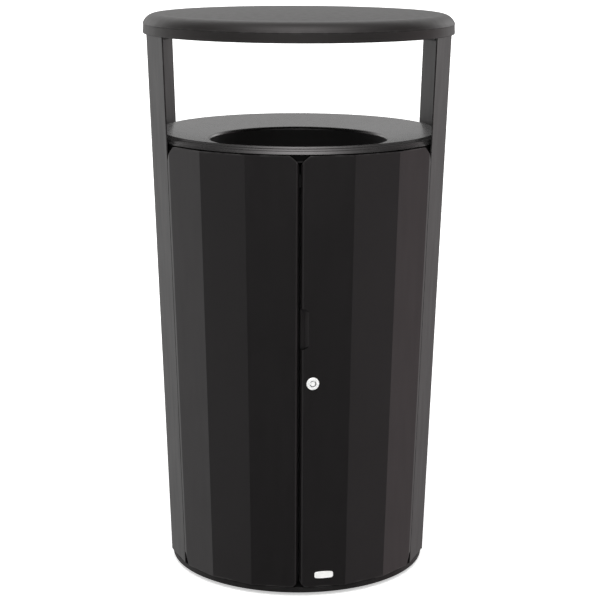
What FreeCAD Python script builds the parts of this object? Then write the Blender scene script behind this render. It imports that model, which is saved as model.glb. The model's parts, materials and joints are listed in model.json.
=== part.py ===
import FreeCAD, Part
import math
import os

import Sketcher

# Two-door litter bin with a round hood. Millimetres, +Z up, front towards -Y.
# The origin is on the ground, at the middle of the bin. Azimuths are degrees from the
# front, positive to the right (+X).

DIMENSIONS = [
    # the faceted wall: radius to its bends at wall_foot, and how much it leans out
    ("wall_radius", 288.6),
    ("wall_foot", 22),
    ("wall_lean", 0.0356),
    ("wall_top", 956),
    ("post_top", 1198),
    ("sheet", 3),
    ("bend_one", 20.4),
    ("bend_two", 39.8),
    ("bend_three", 58.2),
    ("bend_four", 80),
    ("seam_angle", 60.5),
    ("seam_half_gap", 0.25),
    ("front_half_gap", 1.5),
    # backing strips behind the fixed seams
    ("strip_thickness", 2),
    ("strip_foot", 24),
    ("strip_top", 939),
    ("side_strip_start", 117.5),
    ("side_strip_end", 124),
    ("rear_strip_start", 177),
    # doors: return flange, cut corners, stiffeners and bumpers
    ("door_flange", 18),
    ("top_front_cut_width", 20),
    ("top_front_cut_height", 23),
    ("foot_front_cut_width", 13),
    ("foot_front_cut_height", 16),
    ("top_seam_cut_width", 22),
    ("top_seam_cut_height", 33),
    ("foot_seam_cut_width", 13),
    ("foot_seam_cut_height", 18),
    ("stiffener_start", 4.5),
    ("stiffener_end", 54),
    ("stiffener_depth", 4),
    ("stiffener_height", 40),
    ("lower_stiffener", 250),
    ("upper_stiffener", 700),
    ("bumper_radius", 6),
    ("bumper_depth", 4.3),
    ("bumper_drop", 7),
    # base plate, a shallow pan turned over
    ("base_radius", 283.5),
    ("base_foot", 9),
    ("base_top", 20.5),
    ("base_plate", 3),
    ("base_rim", 4),
    ("anchor_circle", 190),
    ("anchor_hole", 7),
    ("glide_circle", 248),
    ("glide_radius", 17),
    ("glide_pad", 6),
    ("glide_stud", 5),
    ("glide_stud_length", 11.3),
    ("glide_nut_radius", 9),
    ("glide_nut_height", 6),
    # deck and the ring that carries it
    ("deck_radius", 312),
    ("deck_crest", 301.5),
    ("deck_top", 973),
    ("deck_roll", 10.5),
    ("deck_wall", 3),
    ("mouth_radius", 193),
    ("mouth_height", 947),
    ("mouth_lip", 7),
    ("mouth_lip_roll", 9),
    ("throat_foot", 925),
    ("ring_top", 945),
    ("ring_plate", 4),
    ("ring_inner", 284),
    ("ring_outer", 309),
    ("deck_screw_circle", 297),
    ("deck_screw", 2.5),
    ("deck_screw_length", 14),
    ("deck_screw_head", 4.5),
    ("deck_screw_head_height", 3),
    ("deck_nut_radius", 4.6),
    ("deck_nut_height", 4),
    # hood and the ring that carries it
    ("hood_radius", 336),
    ("hood_foot", 1181),
    ("hood_skirt_top", 1201.5),
    ("hood_crown_radius", 307),
    ("hood_crown_foot", 1222),
    ("hood_top", 1229),
    ("hood_wall", 4),
    ("shoulder_roll", 29),
    ("hood_ring_top", 1200),
    ("hood_ring_inner", 290),
    ("hood_ring_outer", 317),
    ("hood_stud_circle", 298),
    ("hood_stud_below", 8),
    ("hood_spacer_radius", 7),
    # cleats with their welded studs and nuts
    ("cleat_width", 40),
    ("cleat_height", 40),
    ("cleat_reach", 28),
    ("cleat_plate", 3),
    ("stud_radius", 3),
    ("stud_length", 14),
    ("nut_radius", 5.8),
    ("nut_height", 5),
    # door pivots
    ("pivot_inset", 10),
    ("pivot_depth", 9),
    ("pivot_pin", 3),
    ("pivot_collar", 5.5),
    ("pivot_end_gap", 0.3),
    ("pivot_pin_beyond", 6),
    ("bracket_length", 26),
    ("lower_collar_length", 30),
    ("running_gap", 0.05),
    ("lug_plate", 4),
    ("lug_run", 34),
    ("lug_width", 9),
    ("lug_end", 7),
    ("upper_lug_height", 918),
    ("lower_lug_height", 58),
    # lock in the right door
    ("lock_height", 478),
    ("lock_across", -25.5),
    ("lock_barrel", 9.5),
    ("lock_bezel", 13.5),
    ("lock_plug", 6),
    ("lock_depth", 20.5),
    ("lock_face", 3),
    ("lock_bezel_edge", 1),
    ("lock_bezel_chamfer", 2.5),
    ("lock_nut_width", 4),
    ("lock_nut_height", 5),
    ("lock_plug_face", 2.2),
    ("keyway_half_width", 0.8),
    ("keyway_half_length", 3.6),
    ("keyway_floor", -1),
    ("tongue_reach", 42),
    ("tongue_width", 16),
    ("tongue_heel", 8),
    ("tongue_plate", 3),
    ("cam_gap", 0.3),
    ("cam_nut_radius", 6.5),
    ("cam_nut_height", 4),
    # pressed finger pull and blank badge on the right door
    ("pull_height", 595),
    ("pull_end", -36.2),
    ("pull_width", 15.9),
    ("pull_length", 84),
    ("pull_depth", 4),
    ("pull_wall", 1.8),
    ("badge_height", 49),
    ("badge_across", 3.6),
    ("badge_width", 41),
    ("badge_length", 16),
    ("badge_plate", 1.4),
    ("badge_bulge", 2),
    ("badge_end_radius", 17),
    # slide bolts in the left door
    ("bolt_radius", 4),
    ("bolt_length", 96),
    ("upper_bolt_end", 934),
    ("lower_bolt_end", 24),
    ("bolt_knob", 3),
    ("bolt_knob_length", 22),
    ("bolt_knob_from_end", 84),
    ("bolt_guide_width", 26),
    ("bolt_guide_length", 40),
    ("bolt_guide_wall", 4),
    ("bolt_guide_from_end", 40),
    ("bolt_depth", 18),
    ("upper_bolt_across", 29.9),
    ("lower_bolt_across", 24.9),
    ("bolt_hole", 7),
    # liner
    ("liner_foot_radius", 228),
    ("liner_top_radius", 262),
    ("liner_foot", 21),
    ("liner_top", 884),
    ("liner_wall", 4),
    ("liner_rim", 6),
    ("liner_rim_height", 12),
]


class Measure:
    """A size: its present value, and the expression that the document works it out from."""

    def __init__(self, value, text):
        self.value = value
        self.text = text

    def __add__(self, other):
        other = measure(other)
        return Measure(self.value + other.value, f"({self.text} + {other.text})")

    def __sub__(self, other):
        other = measure(other)
        return Measure(self.value - other.value, f"({self.text} - {other.text})")

    def __mul__(self, other):
        other = measure(other)
        return Measure(self.value * other.value, f"({self.text} * {other.text})")

    def __truediv__(self, other):
        other = measure(other)
        return Measure(self.value / other.value, f"({self.text} / {other.text})")

    def __neg__(self):
        return Measure(-self.value, f"(0 - {self.text})")

    __radd__ = __add__
    __rmul__ = __mul__

    def __rsub__(self, other):
        return measure(other) - self

    def __rtruediv__(self, other):
        return measure(other) / self


def measure(size):
    if isinstance(size, Measure):
        return size
    return Measure(size, f"({size:.9g})")


def sin(angle):
    return Measure(math.sin(math.radians(angle.value)), f"sin({angle.text})")


def cos(angle):
    return Measure(math.cos(math.radians(angle.value)), f"cos({angle.text})")


def tan(angle):
    return Measure(math.tan(math.radians(angle.value)), f"tan({angle.text})")


def slope_angle(rise):
    return Measure(math.degrees(math.atan(rise.value)), f"(atan({rise.text}) / 1deg)")


class Sheet:
    """The driving dimensions, each read as a Measure under its own name."""

    def __init__(self, document):
        cells = document.addObject("Spreadsheet::Sheet", "Dimensions")
        for row, (alias, value) in enumerate(DIMENSIONS, start=1):
            cells.set(f"A{row}", alias)
            cells.set(f"B{row}", str(value))
            cells.setAlias(f"B{row}", alias)
            setattr(self, alias, Measure(float(value), f"Dimensions.{alias}"))


doc = FreeCAD.newDocument("LitterBin")
size = Sheet(doc)
doc.recompute()

LEFT = -1
RIGHT = 1
SIDES = ((LEFT, "left"), (RIGHT, "right"))
SUBPARTS = []


def keep(piece, label):
    """Name a finished sub-part; each one is written to its own file."""
    piece.Label = label
    SUBPARTS.append(piece)
    return piece


def new_body(name):
    return doc.addObject("PartDesign::Body", name)


def origin_of(body, role):
    return [item for item in body.Origin.OriginFeatures if item.Role == role][0]


def place(piece, position, turn=None):
    """Bind a placement: position is x, y, z; turn is yaw, pitch, roll in degrees."""
    x, y, z = (measure(value).text for value in position)
    yaw, pitch, roll = (measure(value).text for value in (turn or (0, 0, 0)))
    piece.setExpression(
        "Placement",
        f"placement(vector({x}; {y}; {z}); rotation({yaw}; {pitch}; {roll}))",
    )
    return piece


# ---- the faceted wall ----

def wall_radius(height):
    return size.wall_radius + size.wall_lean * (height - size.wall_foot)


class Facet:
    """One flat strip of the wall, between two bends on the right half of the bin."""

    def __init__(self, start, end):
        start, end = measure(start), measure(end)
        self.middle = (start + end) / 2
        self.half = (end - start) / 2

    def distance(self, height, depth):
        """From the bin's axis to the facet, less a depth behind its outer face."""
        return wall_radius(height) * cos(self.half) - depth

    def at_azimuth(self, side, azimuth, height, depth):
        reach = self.distance(height, depth) / cos(azimuth - self.middle)
        return side * (reach * sin(azimuth)), -(reach * cos(azimuth))

    def at_x(self, side, x, height, depth):
        y = (self.distance(height, depth) - x * sin(self.middle)) / cos(self.middle)
        return side * x, -y

    def seat(self, side, across, height, depth):
        """Place and turn of a fitting: local Z out of the facet, Y up it, X to the right."""
        reach = self.distance(height, depth)
        azimuth = side * self.middle
        x = reach * sin(azimuth) + across * cos(azimuth)
        y = across * sin(azimuth) - reach * cos(azimuth)
        tilt = slope_angle(size.wall_lean * cos(self.half))
        return (x, y, measure(height)), (azimuth, 0, 90 + tilt)


RIGHT_ANGLES = [
    measure(0), size.bend_one, size.bend_two, size.bend_three, size.bend_four,
    180 - size.bend_four, 180 - size.bend_three, 180 - size.bend_two, 180 - size.bend_one,
    measure(180),
]
FACETS = [Facet(start, end) for start, end in zip(RIGHT_ANGLES, RIGHT_ANGLES[1:])]
FRONT, SECOND, THIRD, POST_FRONT, POST_MIDDLE, POST_REAR = FACETS[:6]


def new_sketch(body, name, plane, height):
    """An empty sketch on one of a body's own planes, raised to a height where one is given."""
    sketch = body.newObject("Sketcher::SketchObject", name)
    sketch.AttachmentSupport = (origin_of(body, plane), [""])
    sketch.MapMode = "FlatFace"
    if height is not None:
        level = measure(height)
        offset = FreeCAD.Vector(0, 0, level.value)
        sketch.AttachmentOffset = FreeCAD.Placement(offset, FreeCAD.Rotation())
        sketch.setExpression("AttachmentOffset.Base.z", level.text)
    return sketch


def outline(body, name, corners, plane="XY_Plane", height=None, arcs=None):
    """A closed sketch through bound corners.

    arcs maps a side's number to its radius: positive bulges to the right of travel.
    """
    sketch = new_sketch(body, name, plane, height)
    corners = [(measure(x), measure(y)) for x, y in corners]
    points = [FreeCAD.Vector(x.value, y.value, 0) for x, y in corners]
    count = len(points)
    ends = []
    for index in range(count):
        start, end = points[index], points[(index + 1) % count]
        radius = (arcs or {}).get(index)
        if radius is None:
            sketch.addGeometry(Part.LineSegment(start, end))
            ends.append((1, 2))
            continue
        chord = end - start
        reach = abs(radius.value)
        rise = reach - math.sqrt(reach ** 2 - chord.Length ** 2 / 4)
        outward = FreeCAD.Vector(chord.y, -chord.x, 0).normalize()
        middle = (start + end) * 0.5 + outward * math.copysign(rise, radius.value)
        if radius.value > 0:
            sketch.addGeometry(Part.Arc(start, middle, end))
            ends.append((1, 2))
        else:
            sketch.addGeometry(Part.Arc(end, middle, start))
            ends.append((2, 1))
        bound = Measure(reach, radius.text if radius.value > 0 else (-radius).text)
        bind_constraint(sketch, Sketcher.Constraint("Radius", index, bound.value), bound)
    for index in range(count):
        following = (index + 1) % count
        sketch.addConstraint(
            Sketcher.Constraint("Coincident", index, ends[index][1], following, ends[following][0])
        )
    for index, (x, y) in enumerate(corners):
        first = ends[index][0]
        bind_constraint(sketch, Sketcher.Constraint("DistanceX", -1, 1, index, first, x.value), x)
        bind_constraint(sketch, Sketcher.Constraint("DistanceY", -1, 1, index, first, y.value), y)
    return sketch


def bind_constraint(sketch, constraint, bound):
    index = sketch.addConstraint(constraint)
    sketch.setExpression(f"Constraints[{index}]", bound.text)


def circle(body, name, x, y, radius):
    sketch = new_sketch(body, name, "XY_Plane", None)
    x, y, radius = measure(x), measure(y), measure(radius)
    centre = FreeCAD.Vector(x.value, y.value, 0)
    sketch.addGeometry(Part.Circle(centre, FreeCAD.Vector(0, 0, 1), radius.value))
    bind_constraint(sketch, Sketcher.Constraint("DistanceX", -1, 1, 0, 3, x.value), x)
    bind_constraint(sketch, Sketcher.Constraint("DistanceY", -1, 1, 0, 3, y.value), y)
    bind_constraint(sketch, Sketcher.Constraint("Radius", 0, radius.value), radius)
    return sketch


def pad(body, name, sketch, length, symmetric=False):
    feature = body.newObject("PartDesign::Pad", name)
    feature.Profile = sketch
    length = measure(length)
    feature.Length = length.value
    feature.setExpression("Length", length.text)
    feature.SideType = "Symmetric" if symmetric else "One side"
    body.Tip = feature
    return feature


def turned(name, profile, arcs=None):
    """A body of revolution about Z from a profile of radius, height corners."""
    body = new_body(name)
    sketch = outline(body, f"{name}_profile", profile, "XZ_Plane", arcs=arcs)
    feature = body.newObject("PartDesign::Revolution", f"{name}_turn")
    feature.Profile = sketch
    feature.ReferenceAxis = (sketch, ["V_Axis"])
    feature.Angle = 360
    body.Tip = feature
    return body


def cut_through(body, name, sketch, reverse=False):
    """Pocket a sketch right through the body, checked by the volume that it removes."""
    doc.recompute()
    before = body.Shape.Volume
    feature = body.newObject("PartDesign::Pocket", name)
    feature.Profile = sketch
    feature.Type = "ThroughAll"
    feature.Reversed = reverse
    body.Tip = feature
    doc.recompute()
    if body.Shape.Volume > before - 1:
        raise RuntimeError(f"{name} cuts nothing")
    return feature


def around_axis(body, name, features, count):
    pattern = body.newObject("PartDesign::PolarPattern", name)
    pattern.Originals = features
    pattern.Axis = (origin_of(body, "Z_Axis"), [""])
    pattern.Angle = 360
    pattern.Occurrences = count
    body.Tip = pattern
    return pattern


def loft(body, name, lower, upper):
    feature = body.newObject("PartDesign::AdditiveLoft", name)
    feature.Profile = lower
    feature.Sections = [upper]
    feature.Ruled = True
    body.Tip = feature
    return feature


def band(name, stations, front_depth, thickness, foot, top):
    """A folded strip that follows the wall, from one depth behind its face to another.

    Each station is a side, an azimuth and the facet that it lies on.
    """
    body = new_body(name)
    front_depth = measure(front_depth)

    def corners(height):
        outer = [facet.at_azimuth(side, azimuth, height, front_depth) for side, azimuth, facet in stations]
        inner = [
            facet.at_azimuth(side, azimuth, height, front_depth + thickness)
            for side, azimuth, facet in reversed(stations)
        ]
        return outer + inner

    lower = outline(body, f"{name}_foot", corners(measure(foot)), height=foot)
    upper = outline(body, f"{name}_head", corners(measure(top)), height=top)
    loft(body, f"{name}_sheet", lower, upper)
    return body


def bind_sizes(piece, sizes):
    for key, value in sizes.items():
        value = measure(value)
        setattr(piece, key, value.value)
        piece.setExpression(key, value.text)


def cylinder(name, radius, length, position, turn=None):
    piece = doc.addObject("Part::Cylinder", name)
    bind_sizes(piece, {"Radius": radius, "Height": length})
    return place(piece, position, turn)


def hexagon(name, radius, length, position, turn=None):
    piece = doc.addObject("Part::Prism", name)
    piece.Polygon = 6
    bind_sizes(piece, {"Circumradius": radius, "Height": length})
    return place(piece, position, turn)


def block(name, sizes, position, turn=None):
    piece = doc.addObject("Part::Box", name)
    bind_sizes(piece, box_sizes(*sizes))
    return place(piece, position, turn)


def box_sizes(length, width, height):
    return {"Length": length, "Width": width, "Height": height}


def cut(name, base, tool):
    piece = doc.addObject("Part::Cut", name)
    piece.Base = base
    piece.Tool = tool
    return piece


def fuse(name, base, tool):
    piece = doc.addObject("Part::Fuse", name)
    piece.Base = base
    piece.Tool = tool
    return piece


def group(name, pieces):
    """Identical small pieces that share one file, each a separate solid."""
    doc.recompute()
    compound = doc.addObject("Part::Compound", name)
    compound.Links = pieces
    return keep(compound, name)


def on_circle(radius, azimuth, height):
    azimuth = measure(azimuth)
    return radius * sin(azimuth), -(radius * cos(azimuth)), measure(height)


# ---- walls ----

def make_posts():
    """The two side sheets, which run up past the deck and carry the hood."""
    for side, word in SIDES:
        front = size.seam_angle + size.seam_half_gap
        stations = [
            (side, front, POST_FRONT),
            (side, size.bend_four, POST_FRONT),
            (side, 180 - size.bend_four, POST_MIDDLE),
            (side, 180 - front, POST_REAR),
        ]
        name = f"side_upright_{word}"
        keep(band(name, stations, 0, size.sheet, size.wall_foot, size.post_top), name)


def make_rear_panels():
    for side, word in SIDES:
        start = 180 - size.seam_angle + size.seam_half_gap
        end = 180 - size.seam_half_gap
        stations = [(side, start, POST_REAR)]
        stations += [(side, azimuth, facet) for azimuth, facet in zip(RIGHT_ANGLES[6:9], FACETS[6:9])]
        stations += [(side, end, FACETS[8])]
        name = f"rear_panel_{word}"
        keep(band(name, stations, 0, size.sheet, size.wall_foot, size.wall_top), name)


def make_seam_strips():
    """Backing strips behind the three fixed seams, from the base to the upper ring."""
    layouts = {
        f"seam_strip_{word}": [
            (side, size.side_strip_start, POST_REAR),
            (side, 180 - size.bend_three, POST_REAR),
            (side, size.side_strip_end, FACETS[6]),
        ]
        for side, word in SIDES
    }
    layouts["seam_strip_rear"] = [
        (RIGHT, size.rear_strip_start, FACETS[8]),
        (RIGHT, measure(180), FACETS[8]),
        (LEFT, size.rear_strip_start, FACETS[8]),
    ]
    for name, stations in layouts.items():
        strip = band(name, stations, size.sheet, size.strip_thickness, size.strip_foot, size.strip_top)
        keep(strip, name)


# ---- base ----

def make_base_plate():
    rim = size.base_radius - size.base_rim
    under = size.base_top - size.base_plate
    body = turned("base_plate", [
        (0, under), (rim, under), (rim, size.base_foot), (size.base_radius, size.base_foot),
        (size.base_radius, size.base_top), (0, size.base_top),
    ])
    x, y, _ = on_circle(size.anchor_circle, 45, 0)
    hole = circle(body, "anchor_hole", x, y, size.anchor_hole)
    pocket = cut_through(body, "anchor_pocket", hole, reverse=True)
    around_axis(body, "anchor_pattern", [pocket], 4)
    x, y, _ = bolt_spot(size.lower_bolt_across, size.base_top)
    catch = circle(body, "bolt_catch", x, y, size.bolt_hole)
    cut_through(body, "bolt_catch_pocket", catch, reverse=True)
    keep(body, "base_plate")


def make_glides():
    pads, studs, nuts = [], [], []
    height = size.glide_nut_height
    nut_foot = size.base_top - size.base_plate - height
    for number in range(4):
        spot = on_circle(size.glide_circle, 45 + 90 * number, 0)
        pads.append(cylinder(f"glide_pad_{number}", size.glide_radius, size.glide_pad, spot))
        x, y, _ = spot
        stud_foot = (x, y, size.glide_pad)
        studs.append(cylinder(f"glide_stud_{number}", size.glide_stud, size.glide_stud_length, stud_foot))
        nut = hexagon(f"glide_nut_block_{number}", size.glide_nut_radius, height, (x, y, nut_foot))
        bore = cylinder(f"glide_nut_bore_{number}", size.glide_stud, height, (x, y, nut_foot))
        nuts.append(cut(f"glide_nut_{number}", nut, bore))
    group("glide_pads", pads)
    group("glide_studs", studs)
    group("glide_nuts", nuts)


# ---- cleats, which tie the walls to the base and to the two rings ----

SIDE_SEATS = [(side, facet) for side, _ in SIDES for facet in (POST_FRONT, POST_REAR)]
REAR_SEATS = [(side, facet) for side, _ in SIDES for facet in (FACETS[6], FACETS[8])]


STUD_RISE = size.cleat_height * 0.6


def make_cleat(name, side, facet, height, direction):
    """An angle: one leg flat on a level face, the other up or down the wall's inner face."""
    body = new_body(name)
    lean = size.wall_lean * cos(facet.half)

    def level(depth, rise=0):
        return direction * measure(rise) - lean * depth

    leg_back = size.sheet + size.cleat_plate
    corners = [
        (level(size.sheet), -size.sheet),
        (direction * size.cleat_height, -size.sheet),
        (direction * size.cleat_height, -leg_back),
        (level(leg_back, size.cleat_plate), -leg_back),
        (level(size.cleat_reach, size.cleat_plate), -size.cleat_reach),
        (level(size.cleat_reach), -size.cleat_reach),
    ]
    sketch = outline(body, f"{name}_profile", corners, "YZ_Plane")
    pad(body, f"{name}_leg", sketch, size.cleat_width, symmetric=True)
    hole = circle(body, f"{name}_hole", 0, direction * STUD_RISE, size.stud_radius)
    doc.recompute()
    cut_through(body, f"{name}_hole_pocket", hole)
    position, turn = facet.seat(side, 0, height, 0)
    return place(body, position, turn)


def make_cleats(prefix, seats, height, direction):
    cleats, studs, nuts = [], [], []
    for number, (side, facet) in enumerate(seats):
        name = f"{prefix}_{number}"
        cleats.append(make_cleat(f"{name}_cleat", side, facet, height, direction))
        rise = direction * STUD_RISE
        _, turn = facet.seat(side, 0, height, 0)
        along = fitting_spot(facet, side, 0, height, rise, size.sheet + size.stud_length)
        studs.append(cylinder(f"{name}_stud", size.stud_radius, size.stud_length, along, turn))
        seat = fitting_spot(facet, side, 0, height, rise, size.sheet + size.cleat_plate + size.nut_height)
        outer = hexagon(f"{name}_nut_block", size.nut_radius, size.nut_height, seat, turn)
        bore = cylinder(f"{name}_nut_bore", size.stud_radius, size.nut_height, seat, turn)
        nuts.append(cut(f"{name}_nut", outer, bore))
    group(f"{prefix}_cleats", cleats)
    group(f"{prefix}_studs", studs)
    group(f"{prefix}_nuts", nuts)


def fitting_spot(facet, side, across, height, rise, depth):
    """A point in a facet's own frame: across, up it by rise, and back by depth."""
    (x, y, z), (azimuth, _, roll) = facet.seat(side, across, height, 0)
    tilt = roll - 90
    level = rise * sin(tilt) - depth * cos(tilt)
    return (
        x + level * sin(azimuth),
        y - level * cos(azimuth),
        z + rise * cos(tilt) + depth * sin(tilt),
    )


# ---- rings, deck and hood ----

def flat_ring(name, inner, outer, top, holes):
    under = top - size.ring_plate
    body = turned(name, [(inner, under), (outer, under), (outer, top), (inner, top)])
    for number, (spot, radius, count) in enumerate(holes):
        x, y, _ = spot
        sketch = circle(body, f"{name}_hole_{number}", x, y, radius)
        pocket = cut_through(body, f"{name}_pocket_{number}", sketch, reverse=True)
        if count > 1:
            around_axis(body, f"{name}_pattern_{number}", [pocket], count)
    keep(body, name)


def bolt_spot(across, height):
    """Where a slide bolt's axis crosses a level, behind the left door's front facet."""
    reach = FRONT.distance(measure(height), size.bolt_depth)
    azimuth = -FRONT.middle
    x = reach * sin(azimuth) + across * cos(azimuth)
    y = across * sin(azimuth) - reach * cos(azimuth)
    return x, y, height


def make_deck():
    inside = size.deck_radius - size.deck_wall
    crest_under = size.deck_top - size.deck_wall
    mouth_back = size.mouth_radius + size.deck_wall
    flange_top = size.ring_top + size.deck_wall
    lip = size.mouth_lip
    under_lip = measure(0.6)
    profile = [
        (size.deck_radius, size.ring_top),
        (size.deck_radius, size.deck_top - size.deck_roll),
        (size.deck_crest, size.deck_top),
        (size.mouth_radius + lip, size.mouth_height + lip),
        (size.mouth_radius, size.mouth_height),
        (size.mouth_radius, size.throat_foot),
        (mouth_back, size.throat_foot),
        (mouth_back, size.mouth_height - under_lip),
        (size.mouth_radius + lip + under_lip, size.mouth_height + lip - size.deck_wall),
        (size.deck_crest, crest_under),
        (inside, size.deck_top - size.deck_roll),
        (inside, flange_top),
        (size.ring_inner + 3, flange_top),
        (size.ring_inner + 3, size.ring_top),
    ]
    body = turned("deck", profile, arcs={1: size.deck_roll, 3: size.mouth_lip_roll})
    flange_holes = (
        ("deck_screw", on_circle(size.deck_screw_circle, 30, 0), size.deck_screw, 6),
        ("deck_bolt", bolt_spot(size.upper_bolt_across, size.ring_top), size.bolt_hole, 1),
    )
    for name, (x, y, _), radius, count in flange_holes:
        hole = circle(body, f"{name}_hole", x, y, radius)
        pocket = cut_through(body, f"{name}_pocket", hole, reverse=True)
        pocket.Type = "Length"
        bind_sizes(pocket, {"Length": flange_top + 1})
        if count > 1:
            around_axis(body, f"{name}_pattern", [pocket], count)
    keep(body, "deck")


def make_deck_screws():
    screws, nuts = [], []
    head_top = size.ring_top - size.ring_plate
    head_foot = head_top - size.deck_screw_head_height
    nut_foot = size.ring_top + size.deck_wall
    for number in range(6):
        x, y, _ = on_circle(size.deck_screw_circle, 30 + 60 * number, 0)
        head_spot, shank_spot, nut_spot = (x, y, head_foot), (x, y, head_top), (x, y, nut_foot)
        head = cylinder(
            f"deck_screw_head_{number}", size.deck_screw_head, size.deck_screw_head_height, head_spot
        )
        shank = cylinder(
            f"deck_screw_shank_{number}", size.deck_screw, size.deck_screw_length, shank_spot
        )
        screws.append(fuse(f"deck_screw_{number}", head, shank))
        nut = hexagon(f"deck_nut_block_{number}", size.deck_nut_radius, size.deck_nut_height, nut_spot)
        bore = cylinder(f"deck_nut_bore_{number}", size.deck_screw, size.deck_nut_height, nut_spot)
        nuts.append(cut(f"deck_nut_{number}", nut, bore))
    group("deck_screws", screws)
    group("deck_nuts", nuts)


def make_hood():
    inner = size.hood_radius - size.hood_wall
    crown = size.hood_crown_radius
    ceiling_inset = measure(1.5)
    ceiling = crown - ceiling_inset
    rise = size.hood_top - size.hood_crown_foot
    dome = (crown * crown + rise * rise) / (2 * rise)
    ceiling_dome = (ceiling * ceiling + rise * rise) / (2 * rise)
    profile = [
        (0, size.hood_top - size.hood_wall),
        (ceiling, size.hood_crown_foot - size.hood_wall),
        (inner, size.hood_skirt_top - ceiling_inset),
        (inner, size.hood_foot),
        (size.hood_radius, size.hood_foot),
        (size.hood_radius, size.hood_skirt_top),
        (crown, size.hood_crown_foot),
        (0, size.hood_top),
    ]
    inner_roll = size.shoulder_roll - 2 * ceiling_inset
    arcs = {0: -ceiling_dome, 1: -inner_roll, 5: size.shoulder_roll, 6: dome}
    keep(turned("hood", profile, arcs), "hood")


def make_hood_studs():
    studs, spacers, nuts = [], [], []
    ceiling = size.hood_crown_foot - size.hood_wall
    ring_foot = size.hood_ring_top - size.ring_plate
    stud_foot = ring_foot - size.hood_stud_below
    nut_foot = ring_foot - size.nut_height
    length = ceiling - size.hood_ring_top
    for number in range(6):
        x, y, _ = on_circle(size.hood_stud_circle, 30 + 60 * number, 0)
        stud_spot, spacer_spot, nut_spot = (x, y, stud_foot), (x, y, size.hood_ring_top), (x, y, nut_foot)
        studs.append(cylinder(f"hood_stud_{number}", size.stud_radius, ceiling - stud_foot, stud_spot))
        tube = cylinder(f"hood_spacer_tube_{number}", size.hood_spacer_radius, length, spacer_spot)
        bore = cylinder(f"hood_spacer_bore_{number}", size.stud_radius, length, spacer_spot)
        spacers.append(cut(f"hood_spacer_{number}", tube, bore))
        nut = hexagon(f"hood_nut_block_{number}", size.nut_radius, size.nut_height, nut_spot)
        hole = cylinder(f"hood_nut_bore_{number}", size.stud_radius, size.nut_height, nut_spot)
        nuts.append(cut(f"hood_nut_{number}", nut, hole))
    group("hood_studs", studs)
    group("hood_spacers", spacers)
    group("hood_nuts", nuts)


# ---- door pivots: an axis that runs up parallel to the side seam ----

def pivot_spot(side, height):
    seam_x, seam_y = POST_FRONT.at_azimuth(RIGHT, size.seam_angle, height, 0)
    middle = POST_FRONT.middle
    x = seam_x - size.pivot_inset * cos(middle) - size.pivot_depth * sin(middle)
    y = seam_y - size.pivot_inset * sin(middle) + size.pivot_depth * cos(middle)
    return side * x, y, height


def pivot_turn(side):
    """Local Z up the pivot axis, X towards the upright on the right, -Y out of the wall."""
    middle = POST_FRONT.middle
    lean = size.wall_lean * cos(POST_FRONT.half)
    pitch = slope_angle(lean * tan(size.seam_angle - middle))
    return side * middle, side * pitch, slope_angle(lean)


def make_door_pivots():
    brackets, pins, lower = [], [], []
    half, back = size.pivot_collar, size.bracket_length
    beyond, gap = size.pivot_pin_beyond, size.pivot_end_gap
    bracket_foot = size.ring_top - 2 * size.ring_plate
    upper_length = bracket_foot - size.upper_lug_height + beyond - gap
    lower_length = size.lower_lug_height - size.base_top + 2 * beyond
    for side, word in SIDES:
        turn = pivot_turn(side)
        body = new_body(f"pivot_bracket_{word}")
        corners = [(-half, 0), (half, 0), (half, back), (-half, back)]
        sketch = outline(body, f"pivot_bracket_{word}_plan", corners, arcs={0: half + 0.001})
        pad(body, f"pivot_bracket_{word}_plate", sketch, size.ring_plate)
        brackets.append(place(body, pivot_spot(side, bracket_foot), (turn[0], 0, 0)))
        pin_foot = pivot_spot(side, size.upper_lug_height - beyond)
        pins.append(cylinder(f"upper_pin_{word}", size.pivot_pin, upper_length, pin_foot, turn))
        foot = pivot_spot(side, size.base_top + gap)
        collar = cylinder(f"lower_collar_{word}", half, size.lower_collar_length, foot, turn)
        pin = cylinder(f"lower_pin_{word}", size.pivot_pin, lower_length, foot, turn)
        lower.append(fuse(f"lower_pivot_{word}", collar, pin))
    group("upper_pivot_brackets", brackets)
    group("upper_pivot_pins", pins)
    group("lower_pivots", lower)


def make_door_lugs():
    """Plates inside each door that turn on the pivot pins."""
    end = size.lug_end
    run = size.lug_run
    inner_bend = measure(4)
    wall = size.sheet - size.pivot_depth + size.running_gap
    turn = POST_FRONT.middle - THIRD.middle
    strip_share = tan(POST_FRONT.half) - tan(POST_FRONT.middle - size.seam_angle)
    for side, word in SIDES:
        lugs = []
        for level, height in (("upper", size.upper_lug_height), ("lower", size.lower_lug_height)):
            name = f"door_lug_{word}_{level}"
            body = new_body(name)
            strip = POST_FRONT.distance(height, 0) * strip_share
            fold = size.pivot_inset - strip + size.sheet * tan(turn / 2)
            tail = wall + (fold + run) * tan(turn)
            corners = [
                (side * end, wall),
                (side * fold, wall),
                (side * -run, tail),
                (side * -run, tail + size.lug_width),
                (side * -inner_bend, end),
                (side * end, end),
            ]
            if side == LEFT:
                corners = corners[::-1]
            sketch = outline(body, f"{name}_plan", corners)
            pad(body, f"{name}_plate", sketch, size.lug_plate)
            hole = circle(body, f"{name}_hole", 0, 0, size.pivot_pin + size.running_gap)
            cut_through(body, f"{name}_bore", hole, reverse=True)
            place(body, pivot_spot(side, height), pivot_turn(side))
            lugs.append(body)
        group(f"door_lugs_{word}", lugs)


# ---- doors ----

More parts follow.
